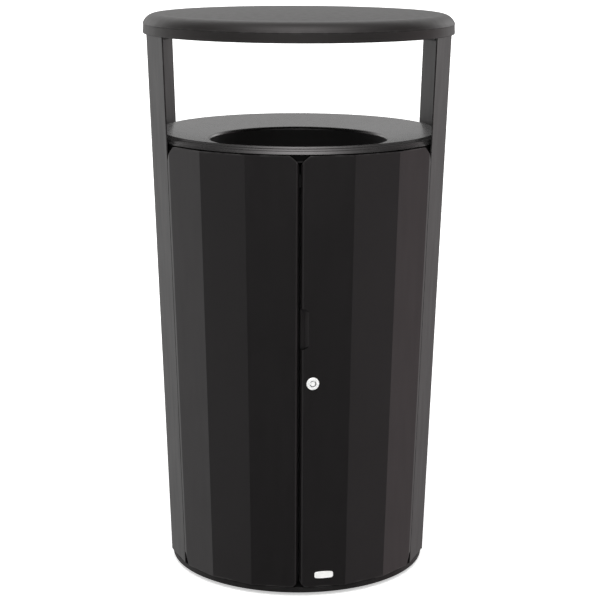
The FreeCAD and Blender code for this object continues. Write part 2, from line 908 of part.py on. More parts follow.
def door_corners(side, height):
    height = measure(height)
    edge = size.seam_angle - size.seam_half_gap
    outer = [
        FRONT.at_x(side, size.front_half_gap, height, 0),
        FRONT.at_azimuth(side, size.bend_one, height, 0),
        SECOND.at_azimuth(side, size.bend_two, height, 0),
        THIRD.at_azimuth(side, size.bend_three, height, 0),
        POST_FRONT.at_azimuth(side, edge, height, 0),
    ]
    fold = size.front_half_gap + size.sheet
    inner = [
        POST_FRONT.at_azimuth(side, edge, height, size.sheet),
        THIRD.at_azimuth(side, size.bend_three, height, size.sheet),
        SECOND.at_azimuth(side, size.bend_two, height, size.sheet),
        FRONT.at_azimuth(side, size.bend_one, height, size.sheet),
        FRONT.at_x(side, fold, height, size.sheet),
    ]
    tip = outer[0][1] + size.door_flange
    flange = [(side * fold, tip), (side * size.front_half_gap, tip)]
    return outer + inner + flange


def trim_corners(body, name, side):
    """Cut the four corners of a door's sheet back at a slant."""
    beyond, clear, past_seam = measure(5), measure(40), measure(2)
    front_cuts = (
        ("top", size.wall_top, -1, size.top_front_cut_width, size.top_front_cut_height),
        ("foot", size.wall_foot, 1, size.foot_front_cut_width, size.foot_front_cut_height),
    )
    for level, edge, direction, wide, tall in front_cuts:
        start = edge - direction * beyond
        spread = wide * (tall + beyond) / tall
        corners = [(0, start), (side * spread, start), (0, edge + direction * tall)]
        sketch = outline(body, f"{name}_{level}_front_cut", corners, "XZ_Plane")
        cut_through(body, f"{name}_{level}_front_trim", sketch, reverse=True)
    seam_cuts = (
        ("top", size.wall_top, -1, size.top_seam_cut_width, size.top_seam_cut_height),
        ("foot", size.wall_foot, 1, size.foot_seam_cut_width, size.foot_seam_cut_height),
    )
    for level, edge, direction, wide, tall in seam_cuts:
        start, finish = edge - direction * beyond, edge + direction * tall
        _, seam = POST_FRONT.at_azimuth(RIGHT, size.seam_angle, edge, 0)
        spread = wide * (tall + beyond) / tall
        corners = [
            (seam + clear, start), (seam - spread, start),
            (seam + past_seam, finish), (seam + clear, finish),
        ]
        sketch = outline(body, f"{name}_{level}_seam_cut", corners, "YZ_Plane")
        cut_through(body, f"{name}_{level}_seam_trim", sketch, reverse=side == RIGHT)


def make_door(side, name):
    body = new_body(name)
    lower = outline(body, f"{name}_foot", door_corners(side, size.wall_foot), height=size.wall_foot)
    upper = outline(body, f"{name}_head", door_corners(side, size.wall_top), height=size.wall_top)
    loft(body, f"{name}_sheet", lower, upper)
    trim_corners(body, name, side)
    return keep(body, name)


def subtract(body, name, kind, sizes, position, turn):
    """Take a primitive out of a body, checked by the volume that it removes."""
    doc.recompute()
    before = body.Shape.Volume
    feature = body.newObject(f"PartDesign::Subtractive{kind}", name)
    bind_sizes(feature, sizes)
    place(feature, position, turn)
    body.Tip = feature
    doc.recompute()
    if body.Shape.Volume > before - 1:
        raise RuntimeError(f"{name} cuts nothing")


def pull_tray():
    """Outer sizes and lowest corner of the finger pull's tray, which is open towards the gap."""
    wall = size.pull_wall
    length, depth = size.pull_length + 2 * wall, size.pull_depth + wall
    left = size.pull_end - size.pull_width
    corner = fitting_spot(FRONT, RIGHT, left, size.pull_height, -length / 2, depth)
    return (size.pull_width + wall, length, depth - size.sheet), corner


def pull_hollow(depth, rise):
    """Sizes and lowest corner of the space over the tray's floor, run past the door's edge."""
    across = size.pull_width * 1.5
    left = size.pull_end - across
    corner = fitting_spot(FRONT, RIGHT, left, size.pull_height, -size.pull_length / 2, depth)
    return (across, size.pull_length, depth + rise), corner


def make_doors():
    make_door(LEFT, "door_left")
    right = make_door(RIGHT, "door_right")
    _, turn = FRONT.seat(RIGHT, 0, size.lock_height, 0)
    behind = fitting_spot(FRONT, RIGHT, size.lock_across, size.lock_height, measure(0), size.sheet * 2)
    sizes = {"Radius": size.lock_barrel, "Height": size.sheet * 3}
    subtract(right, "lock_hole", "Cylinder", sizes, behind, turn)
    hollow, corner = pull_hollow(size.pull_depth + size.pull_wall, size.sheet)
    subtract(right, "pull_window", "Box", box_sizes(*hollow), corner, turn)
    tray, corner = pull_tray()
    subtract(right, "pull_seat", "Box", box_sizes(*tray), corner, turn)


def make_door_fittings():
    """Two stiffening bars and a rubber bumper inside each door."""
    depth = size.sheet + size.running_gap
    height = size.stiffener_height
    for side, word in SIDES:
        stations = [
            (side, size.stiffener_start, FRONT),
            (side, size.bend_one, FRONT),
            (side, size.bend_two, SECOND),
            (side, size.stiffener_end, THIRD),
        ]
        bars = [
            band(f"stiffener_{word}_{level}", stations, depth, size.stiffener_depth, foot, foot + height)
            for level, foot in (("lower", size.lower_stiffener), ("upper", size.upper_stiffener))
        ]
        group(f"door_stiffeners_{word}", bars)
        back = size.sheet + size.bumper_depth
        spot = fitting_spot(SECOND, side, 0, size.ring_top, -size.bumper_drop, back)
        _, turn = SECOND.seat(side, 0, size.ring_top, 0)
        bumper = cylinder(f"bumper_{word}", size.bumper_radius, size.bumper_depth, spot, turn)
        keep(bumper, f"door_bumper_{word}")


def make_door_trim():
    """The blank badge, and the shallow tray behind the finger pull's window."""
    _, turn = FRONT.seat(RIGHT, 0, size.badge_height, 0)
    body = new_body("badge_plate")
    half_width, half_length = size.badge_width / 2, size.badge_length / 2
    waist = half_width - size.badge_bulge
    corners = [
        (-waist, -half_length), (waist, -half_length), (waist, half_length), (-waist, half_length),
    ]
    ends = {1: size.badge_end_radius, 3: size.badge_end_radius}
    pad(body, "badge_pad", outline(body, "badge_outline", corners, arcs=ends), size.badge_plate)
    spot = fitting_spot(FRONT, RIGHT, size.badge_across, size.badge_height, measure(0), measure(0))
    keep(place(body, spot, turn), "badge_plate")
    tray = block("pull_tray", *pull_tray(), turn)
    hollow = block("pull_hollow", *pull_hollow(size.pull_depth, 0), turn)
    keep(cut("finger_pull", tray, hollow), "finger_pull")


# ---- lock ----

def make_lock():
    spot = fitting_spot(FRONT, RIGHT, size.lock_across, size.lock_height, measure(0), measure(0))
    _, turn = FRONT.seat(RIGHT, 0, size.lock_height, 0)
    barrel, bezel, radius = size.lock_barrel, size.lock_bezel, size.lock_plug
    bore = radius + size.running_gap
    housing = turned("lock_housing", [
        (bore, -size.lock_depth), (barrel, -size.lock_depth), (barrel, 0),
        (bezel, 0), (bezel, size.lock_bezel_edge),
        (bezel - size.lock_bezel_chamfer, size.lock_face), (bore, size.lock_face),
    ])
    keep(place(housing, spot, turn), "lock_housing")
    nut_foot, nut_edge = -size.sheet - size.lock_nut_height, barrel + size.lock_nut_width
    ring = turned("lock_nut", [
        (barrel, nut_foot), (nut_edge, nut_foot), (nut_edge, -size.sheet), (barrel, -size.sheet),
    ])
    keep(place(ring, spot, turn), "lock_nut")
    plug_foot, face = -size.lock_depth - size.cam_gap, size.lock_plug_face
    plug = turned("lock_plug", [(0, plug_foot), (radius, plug_foot), (radius, face), (0, face)])
    wide, tall = size.keyway_half_width, size.keyway_half_length
    corners = [(-wide, -tall), (wide, -tall), (wide, tall), (-wide, tall)]
    slot = outline(plug, "keyway", corners, height=size.keyway_floor)
    cut_through(plug, "keyway_pocket", slot, reverse=True)
    keep(place(plug, spot, turn), "lock_plug")
    tongue = new_body("cam_tongue")
    half, reach, heel = size.tongue_width / 2, size.tongue_reach, size.tongue_heel
    corners = [(-half, -reach), (half, -reach), (half, heel), (-half, heel)]
    sketch = outline(tongue, "tongue_plan", corners, height=plug_foot - size.tongue_plate)
    pad(tongue, "tongue_plate", sketch, size.tongue_plate)
    keep(place(tongue, spot, turn), "cam_tongue")
    behind = size.tongue_plate + size.cam_nut_height - plug_foot
    back = fitting_spot(FRONT, RIGHT, size.lock_across, size.lock_height, measure(0), behind)
    keep(hexagon("cam_nut", size.cam_nut_radius, size.cam_nut_height, back, turn), "cam_nut")


# ---- slide bolts, inside the left door ----

def make_slide_bolts():
    azimuth, roll = -FRONT.middle, slope_angle(size.wall_lean * cos(FRONT.half))
    upright, inward = (azimuth, 0, roll), (azimuth, 0, 90 + roll)
    length, knob_length = size.bolt_length, size.bolt_knob_length
    guide_length = size.bolt_guide_length
    bore_radius = size.bolt_radius + size.running_gap
    back = size.bolt_depth + size.bolt_radius + size.bolt_guide_wall
    bolts = (
        ("upper", size.upper_bolt_across, size.upper_bolt_end, -1),
        ("lower", size.lower_bolt_across, size.lower_bolt_end, 1),
    )
    for word, across, end, direction in bolts:
        foot = end - length if direction < 0 else end
        rod = cylinder(f"{word}_rod", size.bolt_radius, length, bolt_spot(across, foot), upright)
        x, y, z = bolt_spot(across, end + direction * size.bolt_knob_from_end)
        knob_spot = (
            x - knob_length * sin(azimuth),
            y + knob_length * cos(azimuth),
            z + knob_length * size.wall_lean,
        )
        knob = cylinder(f"{word}_knob", size.bolt_knob, knob_length, knob_spot, inward)
        keep(fuse(f"{word}_slide_bolt", rod, knob), f"{word}_slide_bolt")
        middle = end + direction * size.bolt_guide_from_end
        edge = across - size.bolt_guide_width / 2
        corner = fitting_spot(FRONT, LEFT, edge, middle, -guide_length / 2, back)
        sizes = (size.bolt_guide_width, guide_length, back - size.sheet)
        shell = block(f"{word}_guide_block", sizes, corner, inward)
        hole_spot = bolt_spot(across, middle - guide_length * 0.75)
        hole = cylinder(f"{word}_guide_bore", bore_radius, guide_length * 1.5, hole_spot, upright)
        keep(cut(f"{word}_bolt_guide", shell, hole), f"{word}_bolt_guide")


# ---- liner ----

def make_liner():
    wall = size.liner_wall
    rim = size.liner_top_radius + size.liner_rim
    rim_foot = size.liner_top - size.liner_rim_height
    lean = (size.liner_top_radius - size.liner_foot_radius) / (size.liner_top - size.liner_foot)
    inner_foot = size.liner_foot + wall
    keep(turned("liner", [
        (0, size.liner_foot),
        (size.liner_foot_radius, size.liner_foot),
        (size.liner_top_radius - size.liner_rim_height * lean, rim_foot),
        (rim, rim_foot),
        (rim, size.liner_top),
        (size.liner_top_radius - wall, size.liner_top),
        (size.liner_foot_radius - wall, inner_foot),
        (0, inner_foot),
    ]), "liner")


make_posts()
make_rear_panels()
make_seam_strips()
make_base_plate()
make_glides()
make_cleats("lower", SIDE_SEATS + REAR_SEATS, size.base_top, 1)
make_cleats("upper", SIDE_SEATS + REAR_SEATS, size.ring_top - size.ring_plate, -1)
make_cleats("hood_post", SIDE_SEATS, size.hood_ring_top - size.ring_plate, -1)
flat_ring("upper_ring", size.ring_inner, size.ring_outer, size.ring_top, [
    (on_circle(size.deck_screw_circle, 30, 0), size.deck_screw, 6),
    (bolt_spot(size.upper_bolt_across, size.ring_top), size.bolt_hole, 1),
])
make_deck()
make_deck_screws()
flat_ring("hood_ring", size.hood_ring_inner, size.hood_ring_outer, size.hood_ring_top, [
    (on_circle(size.hood_stud_circle, 30, 0), size.stud_radius, 6),
])
make_hood()
make_hood_studs()
make_door_pivots()
make_doors()
make_door_fittings()
make_door_lugs()
make_door_trim()
make_lock()
make_slide_bolts()
make_liner()

doc.recompute()
for item in doc.Objects:
    if "Invalid" in item.State or "Error" in item.State:
        raise RuntimeError(f"{item.Label} failed: {item.State}")
os.makedirs("parts", exist_ok=True)
for piece in SUBPARTS:
    if piece.Shape.isNull() or not piece.Shape.isValid():
        raise RuntimeError(f"{piece.Label} has no valid shape")
    piece.Shape.exportStep(f"parts/{piece.Label}.step")
print(f"{len(SUBPARTS)} sub-parts written")
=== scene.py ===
import json
import math

import bmesh
import bpy
from mathutils import Matrix, Vector


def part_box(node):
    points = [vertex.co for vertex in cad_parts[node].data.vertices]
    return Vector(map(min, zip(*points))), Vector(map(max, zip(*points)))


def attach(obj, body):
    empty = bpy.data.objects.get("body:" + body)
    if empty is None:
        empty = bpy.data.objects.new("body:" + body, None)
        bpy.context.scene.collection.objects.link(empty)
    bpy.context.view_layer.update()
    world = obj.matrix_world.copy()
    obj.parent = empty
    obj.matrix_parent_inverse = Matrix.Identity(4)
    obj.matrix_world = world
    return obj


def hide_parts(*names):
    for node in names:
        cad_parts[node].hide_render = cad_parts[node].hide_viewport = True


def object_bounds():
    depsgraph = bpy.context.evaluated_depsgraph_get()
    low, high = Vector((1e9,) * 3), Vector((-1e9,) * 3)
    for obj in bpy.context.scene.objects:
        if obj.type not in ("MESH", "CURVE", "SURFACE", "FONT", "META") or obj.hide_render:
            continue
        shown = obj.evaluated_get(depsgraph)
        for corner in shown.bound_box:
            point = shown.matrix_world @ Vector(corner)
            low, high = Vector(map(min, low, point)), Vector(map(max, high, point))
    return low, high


# A round black litter bin: folded steel walls, two front doors, a funnel deck and a domed hood.
# Metres, +Z up, front towards -Y. Azimuths are degrees from the front, positive to the right.

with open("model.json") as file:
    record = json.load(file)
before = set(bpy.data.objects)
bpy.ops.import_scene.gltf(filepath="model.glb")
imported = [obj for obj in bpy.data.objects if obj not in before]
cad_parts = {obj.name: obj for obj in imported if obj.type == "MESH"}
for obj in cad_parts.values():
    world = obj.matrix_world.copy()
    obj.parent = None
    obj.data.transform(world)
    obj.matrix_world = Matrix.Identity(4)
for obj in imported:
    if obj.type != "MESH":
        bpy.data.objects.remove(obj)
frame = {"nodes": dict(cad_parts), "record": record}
nodes = frame["nodes"]
cad_low, cad_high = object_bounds()

MM = 0.001
LEFT, RIGHT = -1, 1
SIDES = ((LEFT, "left"), (RIGHT, "right"))


def deg(angle):
    return math.radians(angle)


# ---- the faceted wall: bends lie on a cone, and facets run between them ----

BENDS = (20.4, 39.8, 58.2, 80.0)
RIGHT_ANGLES = (0.0,) + BENDS + tuple(180 - a for a in reversed(BENDS)) + (180.0,)
SEAM = 60.5  # azimuth between door and upright; the rear seam mirrors it
SEAM_HALF_GAP = 0.25  # degrees
FRONT_HALF_GAP = 1.5 * MM
SHEET = 3 * MM
LEAN = 0.0356  # metres of radius gained per metre of height

post_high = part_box("side_upright_right")[1]
door_low, door_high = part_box("door_right")
WALL_FOOT, WALL_TOP, POST_TOP = door_low.z, door_high.z, post_high.z
POST_RADIUS = post_high.x / math.cos(deg(90 - BENDS[3]))


def wall_radius(z):
    return POST_RADIUS - LEAN * (POST_TOP - z)


def facet_of(azimuth):
    """Middle and half angle of the facet that an azimuth on the right half lies on."""
    start, end = next(pair for pair in zip(RIGHT_ANGLES, RIGHT_ANGLES[1:]) if azimuth <= pair[1])
    return (start + end) / 2, (end - start) / 2


def on_wall(side, azimuth, z):
    """The point of the wall's outer face at an azimuth and a height, on one side."""
    middle, half = facet_of(azimuth)
    reach = wall_radius(z) * math.cos(deg(half)) / math.cos(deg(azimuth - middle))
    return Vector((side * reach * math.sin(deg(azimuth)), -reach * math.cos(deg(azimuth)), z))


def at_x(side, x, z):
    """The point on the front facet at a distance x from the bin's middle plane."""
    middle, half = facet_of(0)
    reach = wall_radius(z) * math.cos(deg(half))
    y = (reach - x * math.sin(deg(middle))) / math.cos(deg(middle))
    return Vector((side * x, -y, z))


def front_seat(across, z):
    """Frame of a fitting on the right front facet: local Z out of it, Y up it, X to the right."""
    middle, half = facet_of(0)
    a = deg(middle)
    reach = wall_radius(z) * math.cos(deg(half))
    tilt = math.atan(LEAN * math.cos(deg(half)))
    origin = Vector((
        reach * math.sin(a) + across * math.cos(a),
        across * math.sin(a) - reach * math.cos(a),
        z,
    ))
    out = Vector((math.sin(a) * math.cos(tilt), -math.cos(a) * math.cos(tilt), -math.sin(tilt)))
    right = Vector((math.cos(a), math.sin(a), 0))
    up = out.cross(right)
    seat = Matrix((right, up, out)).transposed().to_4x4()
    seat.translation = origin
    return seat


# ---- materials ----

def new_tree(name):
    material = bpy.data.materials.new(name)
    material.use_nodes = True
    tree = material.node_tree
    shader = tree.nodes["Principled BSDF"]
    place = tree.nodes.new("ShaderNodeTexCoord").outputs["Object"]
    return material, tree, shader, place


def add(tree, kind, **values):
    node = tree.nodes.new(kind)
    for key, value in values.items():
        if key in node.inputs:
            node.inputs[key].default_value = value
        else:
            setattr(node, key, value)
    return node


def noise(tree, place, scale, detail=4.0, stretch=None):
    if stretch:
        mapping = add(tree, "ShaderNodeMapping")
        mapping.inputs["Scale"].default_value = stretch
        tree.links.new(place, mapping.inputs["Vector"])
        place = mapping.outputs["Vector"]
    node = add(tree, "ShaderNodeTexNoise", Scale=scale, Detail=detail)
    tree.links.new(place, node.inputs["Vector"])
    return node.outputs["Fac"]


def ranged(tree, value, low, high, start=0.3, end=0.7):
    """Map a value from start..end to low..high; noise mostly lies between 0.3 and 0.7."""
    node = add(tree, "ShaderNodeMapRange")
    for key, number in (("From Min", start), ("From Max", end), ("To Min", low), ("To Max", high)):
        node.inputs[key].default_value = number
    tree.links.new(value, node.inputs["Value"])
    return node.outputs["Result"]


def mixed(tree, factor, first, second):
    """Blend two colours, each a tuple or a socket."""
    node = add(tree, "ShaderNodeMix", data_type="RGBA")
    for socket, value in ((node.inputs[6], first), (node.inputs[7], second)):
        if isinstance(value, tuple):
            socket.default_value = (*value, 1)
        else:
            tree.links.new(value, socket)
    tree.links.new(factor, node.inputs[0])
    return node.outputs[2]


def bumped(tree, shader, layers):
    """Chain bump layers: each is a height, its strength and its depth in metres."""
    normal = None
    for height, strength, depth in layers:
        node = add(tree, "ShaderNodeBump", Strength=strength, Distance=depth)
        tree.links.new(height, node.inputs["Height"])
        if normal is not None:
            tree.links.new(normal, node.inputs["Normal"])
        normal = node.outputs["Normal"]
    tree.links.new(normal, shader.inputs["Normal"])


RUBBED_TINT = (0.028, 0.027, 0.0265)
SHEEN_TINT = (1.0, 0.955, 0.97, 1)


def powder_coat(name, dark, light, rough=(0.38, 0.44), ior=1.5, peel=0.10):
    """Satin powder coat: fine orange peel, uneven gloss, faint handling marks and worn edges."""
    material, tree, shader, place = new_tree(name)
    tone = mixed(tree, ranged(tree, noise(tree, place, 5.0, 3.0), 0, 1, 0.2, 0.8), dark, light)
    rubbed = ranged(tree, noise(tree, place, 55.0, 6.0), 0.15, 1, 0.46, 0.62)
    edge = add(tree, "ShaderNodeAttribute", attribute_name="wear")
    wear = add(tree, "ShaderNodeMath", operation="MULTIPLY")
    tree.links.new(edge.outputs["Fac"], wear.inputs[0])
    tree.links.new(rubbed, wear.inputs[1])
    tree.links.new(mixed(tree, wear.outputs[0], tone, RUBBED_TINT), shader.inputs["Base Color"])
    streak = noise(tree, place, 60.0, 3.0, stretch=(1, 1, 0.15))
    tree.links.new(ranged(tree, streak, *rough), shader.inputs["Roughness"])
    bumped(tree, shader, [
        (noise(tree, place, 620.0, 2.0), peel, 0.0004),
        (noise(tree, place, 90.0, 2.0), peel / 2, 0.0008),
    ])
    shader.inputs["IOR"].default_value = ior
    shader.inputs["Specular Tint"].default_value = SHEEN_TINT
    return material


def metal(name, dark, light, rough, brush, strength=0.12, metallic=1.0):
    """Metal, bare or with a clear finish, with a directional grain and slight staining."""
    material, tree, shader, place = new_tree(name)
    grain = noise(tree, place, 240.0, 5.0, stretch=brush)
    stain = ranged(tree, noise(tree, place, 60.0, 4.0), 0, 1)
    tree.links.new(mixed(tree, stain, dark, light), shader.inputs["Base Color"])
    tree.links.new(ranged(tree, grain, *rough), shader.inputs["Roughness"])
    shader.inputs["Metallic"].default_value = metallic
    bumped(tree, shader, [(grain, strength, 0.0002)])
    return material


def moulded(name, dark, light, rough, grain_scale=420.0):
    """Plastic or rubber with a fine spark-eroded grain and dull patches."""
    material, tree, shader, place = new_tree(name)
    tone = mixed(tree, ranged(tree, noise(tree, place, 9.0, 5.0), 0, 1), dark, light)
    tree.links.new(tone, shader.inputs["Base Color"])
    gloss = ranged(tree, noise(tree, place, 18.0, 4.0), *rough)
    tree.links.new(gloss, shader.inputs["Roughness"])
    bumped(tree, shader, [(noise(tree, place, grain_scale, 2.0), 0.35, 0.0005)])
    return material


panel_coat = powder_coat("panel_coat", (0.0058, 0.0052, 0.0054), (0.0076, 0.0068, 0.0071))
deck_coat = powder_coat(
    "deck_coat", (0.019, 0.0185, 0.0185), (0.023, 0.0223, 0.0222), (0.24, 0.28),
    ior=1.62, peel=0.005,
)
hood_coat = powder_coat(
    "hood_coat", (0.0120, 0.0110, 0.0106), (0.0150, 0.0138, 0.0132), (0.41, 0.46), ior=1.42,
)
frame_coat = powder_coat(
    "frame_coat", (0.006, 0.006, 0.006), (0.010, 0.010, 0.010), (0.50, 0.58), ior=1.4,
)
base_coat = powder_coat(
    "base_coat", (0.006, 0.0056, 0.0057), (0.009, 0.0083, 0.0085), (0.48, 0.58), ior=1.33,
)
# painted shade: a near-black matte coat put on faces where shade falls, in the seams, the notches,
# the keyway and the finger pull
painted_shade = powder_coat(
    "painted_shade", (0.0018, 0.0018, 0.0018), (0.003, 0.003, 0.003), (0.80, 0.90), ior=1.15,
)
throat_coat = powder_coat(
    "throat_coat", (0.0260, 0.0255, 0.0255), (0.0320, 0.0312, 0.0312), (0.60, 0.72), ior=1.3,
)
zinc = metal("zinc_steel", (0.38, 0.39, 0.41), (0.56, 0.57, 0.58), (0.28, 0.46), (1, 1, 8))
chrome = metal(
    "lock_chrome", (0.90, 0.90, 0.90), (0.96, 0.96, 0.96), (0.20, 0.32), (1, 1, 1),
    strength=0.03, metallic=0.30,
)
badge_face = metal(
    "badge_face", (0.78, 0.78, 0.77), (0.86, 0.86, 0.85), (0.30, 0.42), (1, 1, 6),
    strength=0.05, metallic=0.15,
)
liner_grey = moulded("liner_grey", (0.034, 0.0345, 0.0355), (0.040, 0.0405, 0.0415), (0.55, 0.64))
nylon = moulded("glide_nylon", (0.020, 0.020, 0.021), (0.032, 0.032, 0.033), (0.42, 0.58))
rubber = moulded("bumper_rubber", (0.012, 0.012, 0.012), (0.022, 0.022, 0.022), (0.70, 0.86), 300.0)

CARRIED = {
    "frame_coat": frame_coat, "panel_coat": panel_coat, "base_coat": base_coat,
    "spun_coat": deck_coat, "zinc_steel": zinc, "liner_plastic": liner_grey,
    "glide_nylon": nylon, "rubber": rubber, "lock_chrome": chrome, "badge_metal": badge_face,
}
# painted shade: these parts, seen only through the seams and the notches, which are dark, get the
# near-black painted-shade coat instead of their own finish
SHADE_PAINTED_PARTS = ("seam_strip_left", "seam_strip_right", "lower_pivots")
for part in frame["record"]["subparts"]:
    mesh = nodes[part["node"]].data
    mesh.materials.clear()
    given_shade = part["node"] in SHADE_PAINTED_PARTS
    mesh.materials.append(painted_shade if given_shade else CARRIED[part["material_slot"]])


# ---- mesh tools ----

def finished(name, bm, material, body, replaced=(), sharp=32, bevel=0.0):
    """Turn a bmesh into a named piece on a body, with clean normals and softened edges."""
    bmesh.ops.remove_doubles(bm, verts=bm.verts, dist=1e-6)
    bmesh.ops.recalc_face_normals(bm, faces=bm.faces)
    mesh = bpy.data.meshes.new(name)
    bm.to_mesh(mesh)
    bm.free()
    mesh.materials.append(material)
    piece = bpy.data.objects.new(name, mesh)
    bpy.context.scene.collection.objects.link(piece)
    if bevel:
        softened = piece.modifiers.new("edges", "BEVEL")
        softened.width = bevel
        softened.segments = 2
        softened.limit_method = "ANGLE"
        softened.angle_limit = deg(sharp)
        softened.harden_normals = False
    mesh.polygons.foreach_set("use_smooth", [True] * len(mesh.polygons))
    mesh.set_sharp_from_angle(angle=deg(sharp))
    if bevel:
        piece.modifiers.new("normals", "WEIGHTED_NORMAL").keep_sharp = True
    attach(piece, body)
    if replaced:
        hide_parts(*replaced)
    return piece


def arc(centre, radius, start, end, count):
    """Points of radius, height along an arc; angles in degrees from +radius."""
    return [
        (centre[0] + radius * math.cos(deg(start + (end - start) * i / count)),
         centre[1] + radius * math.sin(deg(start + (end - start) * i / count)))
        for i in range(count + 1)
    ]


def lathe(profile, segments, closed=True, wear_at=()):
    """Revolve a profile of (radius, height) about Z.

    wear_at lists worn edges, each a radius, a height and a width.
    """
    bm = bmesh.new()
    layer = bm.verts.layers.float.new("wear")
    rings = []
    for radius, height in profile:
        near = [math.hypot(radius - r, height - h) / w for r, h, w in wear_at]
        worn = max([math.exp(-reach ** 2) for reach in near] or [0])
        if radius < 1e-7:
            vertex = bm.verts.new((0, 0, height))
            vertex[layer] = worn
            rings.append([vertex])
            continue
        ring = []
        for i in range(segments):
            a = math.tau * i / segments
            vertex = bm.verts.new((radius * math.sin(a), -radius * math.cos(a), height))
            vertex[layer] = worn
            ring.append(vertex)
        rings.append(ring)
    pairs = list(zip(rings, rings[1:]))
    if closed:
        pairs.append((rings[-1], rings[0]))
    for lower, upper in pairs:
        if len(lower) == 1 and len(upper) == 1:
            continue
        for i in range(segments):
            j = (i + 1) % segments
            if len(lower) == 1:
                bm.faces.new((lower[0], upper[i], upper[j]))
            elif len(upper) == 1:
                bm.faces.new((lower[i], upper[0], lower[j]))
            else:
                bm.faces.new((lower[i], lower[j], upper[j], upper[i]))
    return bm


def drilled(piece, x, y, low, high, radius):
    """Cut an upright round hole through a piece."""
    bm = bmesh.new()
    bmesh.ops.create_cone(
        bm, cap_ends=True, segments=32, radius1=radius, radius2=radius, depth=high - low,
        matrix=Matrix.Translation((x, y, (low + high) / 2)),
    )
    mesh = bpy.data.meshes.new("drill")
    bm.to_mesh(mesh)
    bm.free()
    drill = bpy.data.objects.new("drill", mesh)
    bpy.context.scene.collection.objects.link(drill)
    cut = piece.modifiers.new("hole", "BOOLEAN")
    cut.operation, cut.solver, cut.object = "DIFFERENCE", "EXACT", drill
    depsgraph = bpy.context.evaluated_depsgraph_get()
    piece.data = bpy.data.meshes.new_from_object(piece.evaluated_get(depsgraph))
    piece.modifiers.clear()
    bpy.data.objects.remove(drill)


# ---- folded walls ----

FOLD_STEPS = 4
MIN_COLUMN = 0.08 * MM
WORN_ROWS = (0.0, 0.0012, 0.003, 0.006)
WORN_WIDTH = 1.8 * MM
INNER_WEAR = 0.5
# these keep the inner face of a sharp fold from running off
LEAST_SHARE, MOST_STRETCH = 0.55, 1.6


def fold_points(before, corner, after, radius):
    """The arc that rounds a corner of a plan line."""
    inward, outward = (before - corner).normalized(), (after - corner).normalized()
    turn = math.pi - inward.angle(outward)
    reach = radius * math.tan(turn / 2)
    first, last = corner + inward * reach, corner + outward * reach
    centre_way = (inward + outward).normalized()
    centre = corner + centre_way * (radius / math.cos(turn / 2))
    start, end = first - centre, last - centre
    shares = [i / FOLD_STEPS for i in range(FOLD_STEPS + 1)]
    return [centre + start.slerp(end, share) * start.length for share in shares]


def plan_line(corners, radii):
    """A line through corners, each inner one rounded by its own radius."""
    points = [corners[0]]
    for before, corner, after, radius in zip(corners, corners[1:], corners[2:], radii):
        if radius:
            points += fold_points(before, corner, after, radius)
        else:
            points.append(corner)
    points.append(corners[-1])
    return points


def spread(points, marks):
    """Add points at given distances along a plan line, so that edges and cuts have columns.

    Marks below zero are measured from the far end. Returns the points, their distances and
    the line's length.
    """
    lengths = [0.0]
    for a, b in zip(points, points[1:]):
        lengths.append(lengths[-1] + (b - a).length)
    total = lengths[-1]
    marked = [m if m >= 0 else total + m for m in marks]
    wanted = sorted({round(distance, 7) for distance in marked + lengths})
    kept = []
    for distance in wanted:
        if kept and distance - kept[-1] < MIN_COLUMN:
            continue
        if 0 <= distance <= total + 1e-9:
            kept.append(distance)
    made = []
    for distance in kept:
        for k in range(len(points) - 1):
            if distance <= lengths[k + 1] + 1e-9:
                span = lengths[k + 1] - lengths[k]
                share = (distance - lengths[k]) / span if span else 0
                made.append(points[k].lerp(points[k + 1], share))
                break
    return made, kept, total


def wall_piece(line_at, foot, top, foot_cut=None, top_cut=None, press=None, rows=(), marks=()):
    """A folded sheet: line_at(z) gives its outer plan line, and cuts shorten its columns.

    rows are heights and marks are distances along the line that get vertices of their own.
    press says how far a vertex goes in.
    """
    lower_line, upper_line = line_at(foot), line_at(top)
    flat, kept, total = spread(lower_line, marks)
    bm = bmesh.new()
    layer = bm.verts.layers.float.new("wear")

    def upper_at(distance):
        """The same place on the upper line, matched run by run."""
        travelled = 0.0
        for k in range(len(lower_line) - 1):
            span = (lower_line[k + 1] - lower_line[k]).length
            if distance <= travelled + span + 1e-9:
                share = (distance - travelled) / span if span else 0
                return upper_line[k].lerp(upper_line[k + 1], min(max(share, 0), 1))
            travelled += span
        return upper_line[-1]

    columns = []
    for point, distance in zip(flat, kept):
        high = upper_at(distance)
        low_z = foot + (foot_cut(point) if foot_cut else 0)
        top_z = top - (top_cut(high) if top_cut else 0)
        heights = [low_z + inset for inset in WORN_ROWS]
        heights += list(rows) + [top_z - inset for inset in reversed(WORN_ROWS)]
        column = []
        for z in heights:
            share = (z - foot) / (top - foot)
            place = point.lerp(high, share)
            place.z = z
            edge = min(abs(z - low_z), abs(z - top_z), distance, total - distance)
            vertex = bm.verts.new(place)
            vertex[layer] = math.exp(-(edge / WORN_WIDTH) ** 2)
            column.append(vertex)
        columns.append(column)
    for left, right in zip(columns, columns[1:]):
        for i in range(len(left) - 1):
            bm.faces.new((left[i], right[i], right[i + 1], left[i + 1]))
    bmesh.ops.recalc_face_normals(bm, faces=bm.faces)
    probe = max(bm.faces, key=lambda f: f.calc_area())
    centre = probe.calc_center_median()
    if probe.normal.dot(Vector((centre.x, centre.y, 0))) < 0:
        bmesh.ops.reverse_faces(bm, faces=bm.faces)
    bm.normal_update()
    if press:
        for vertex in bm.verts:
            vertex.co.y += press(vertex.co)
    bm.normal_update()
    return thicken(bm)


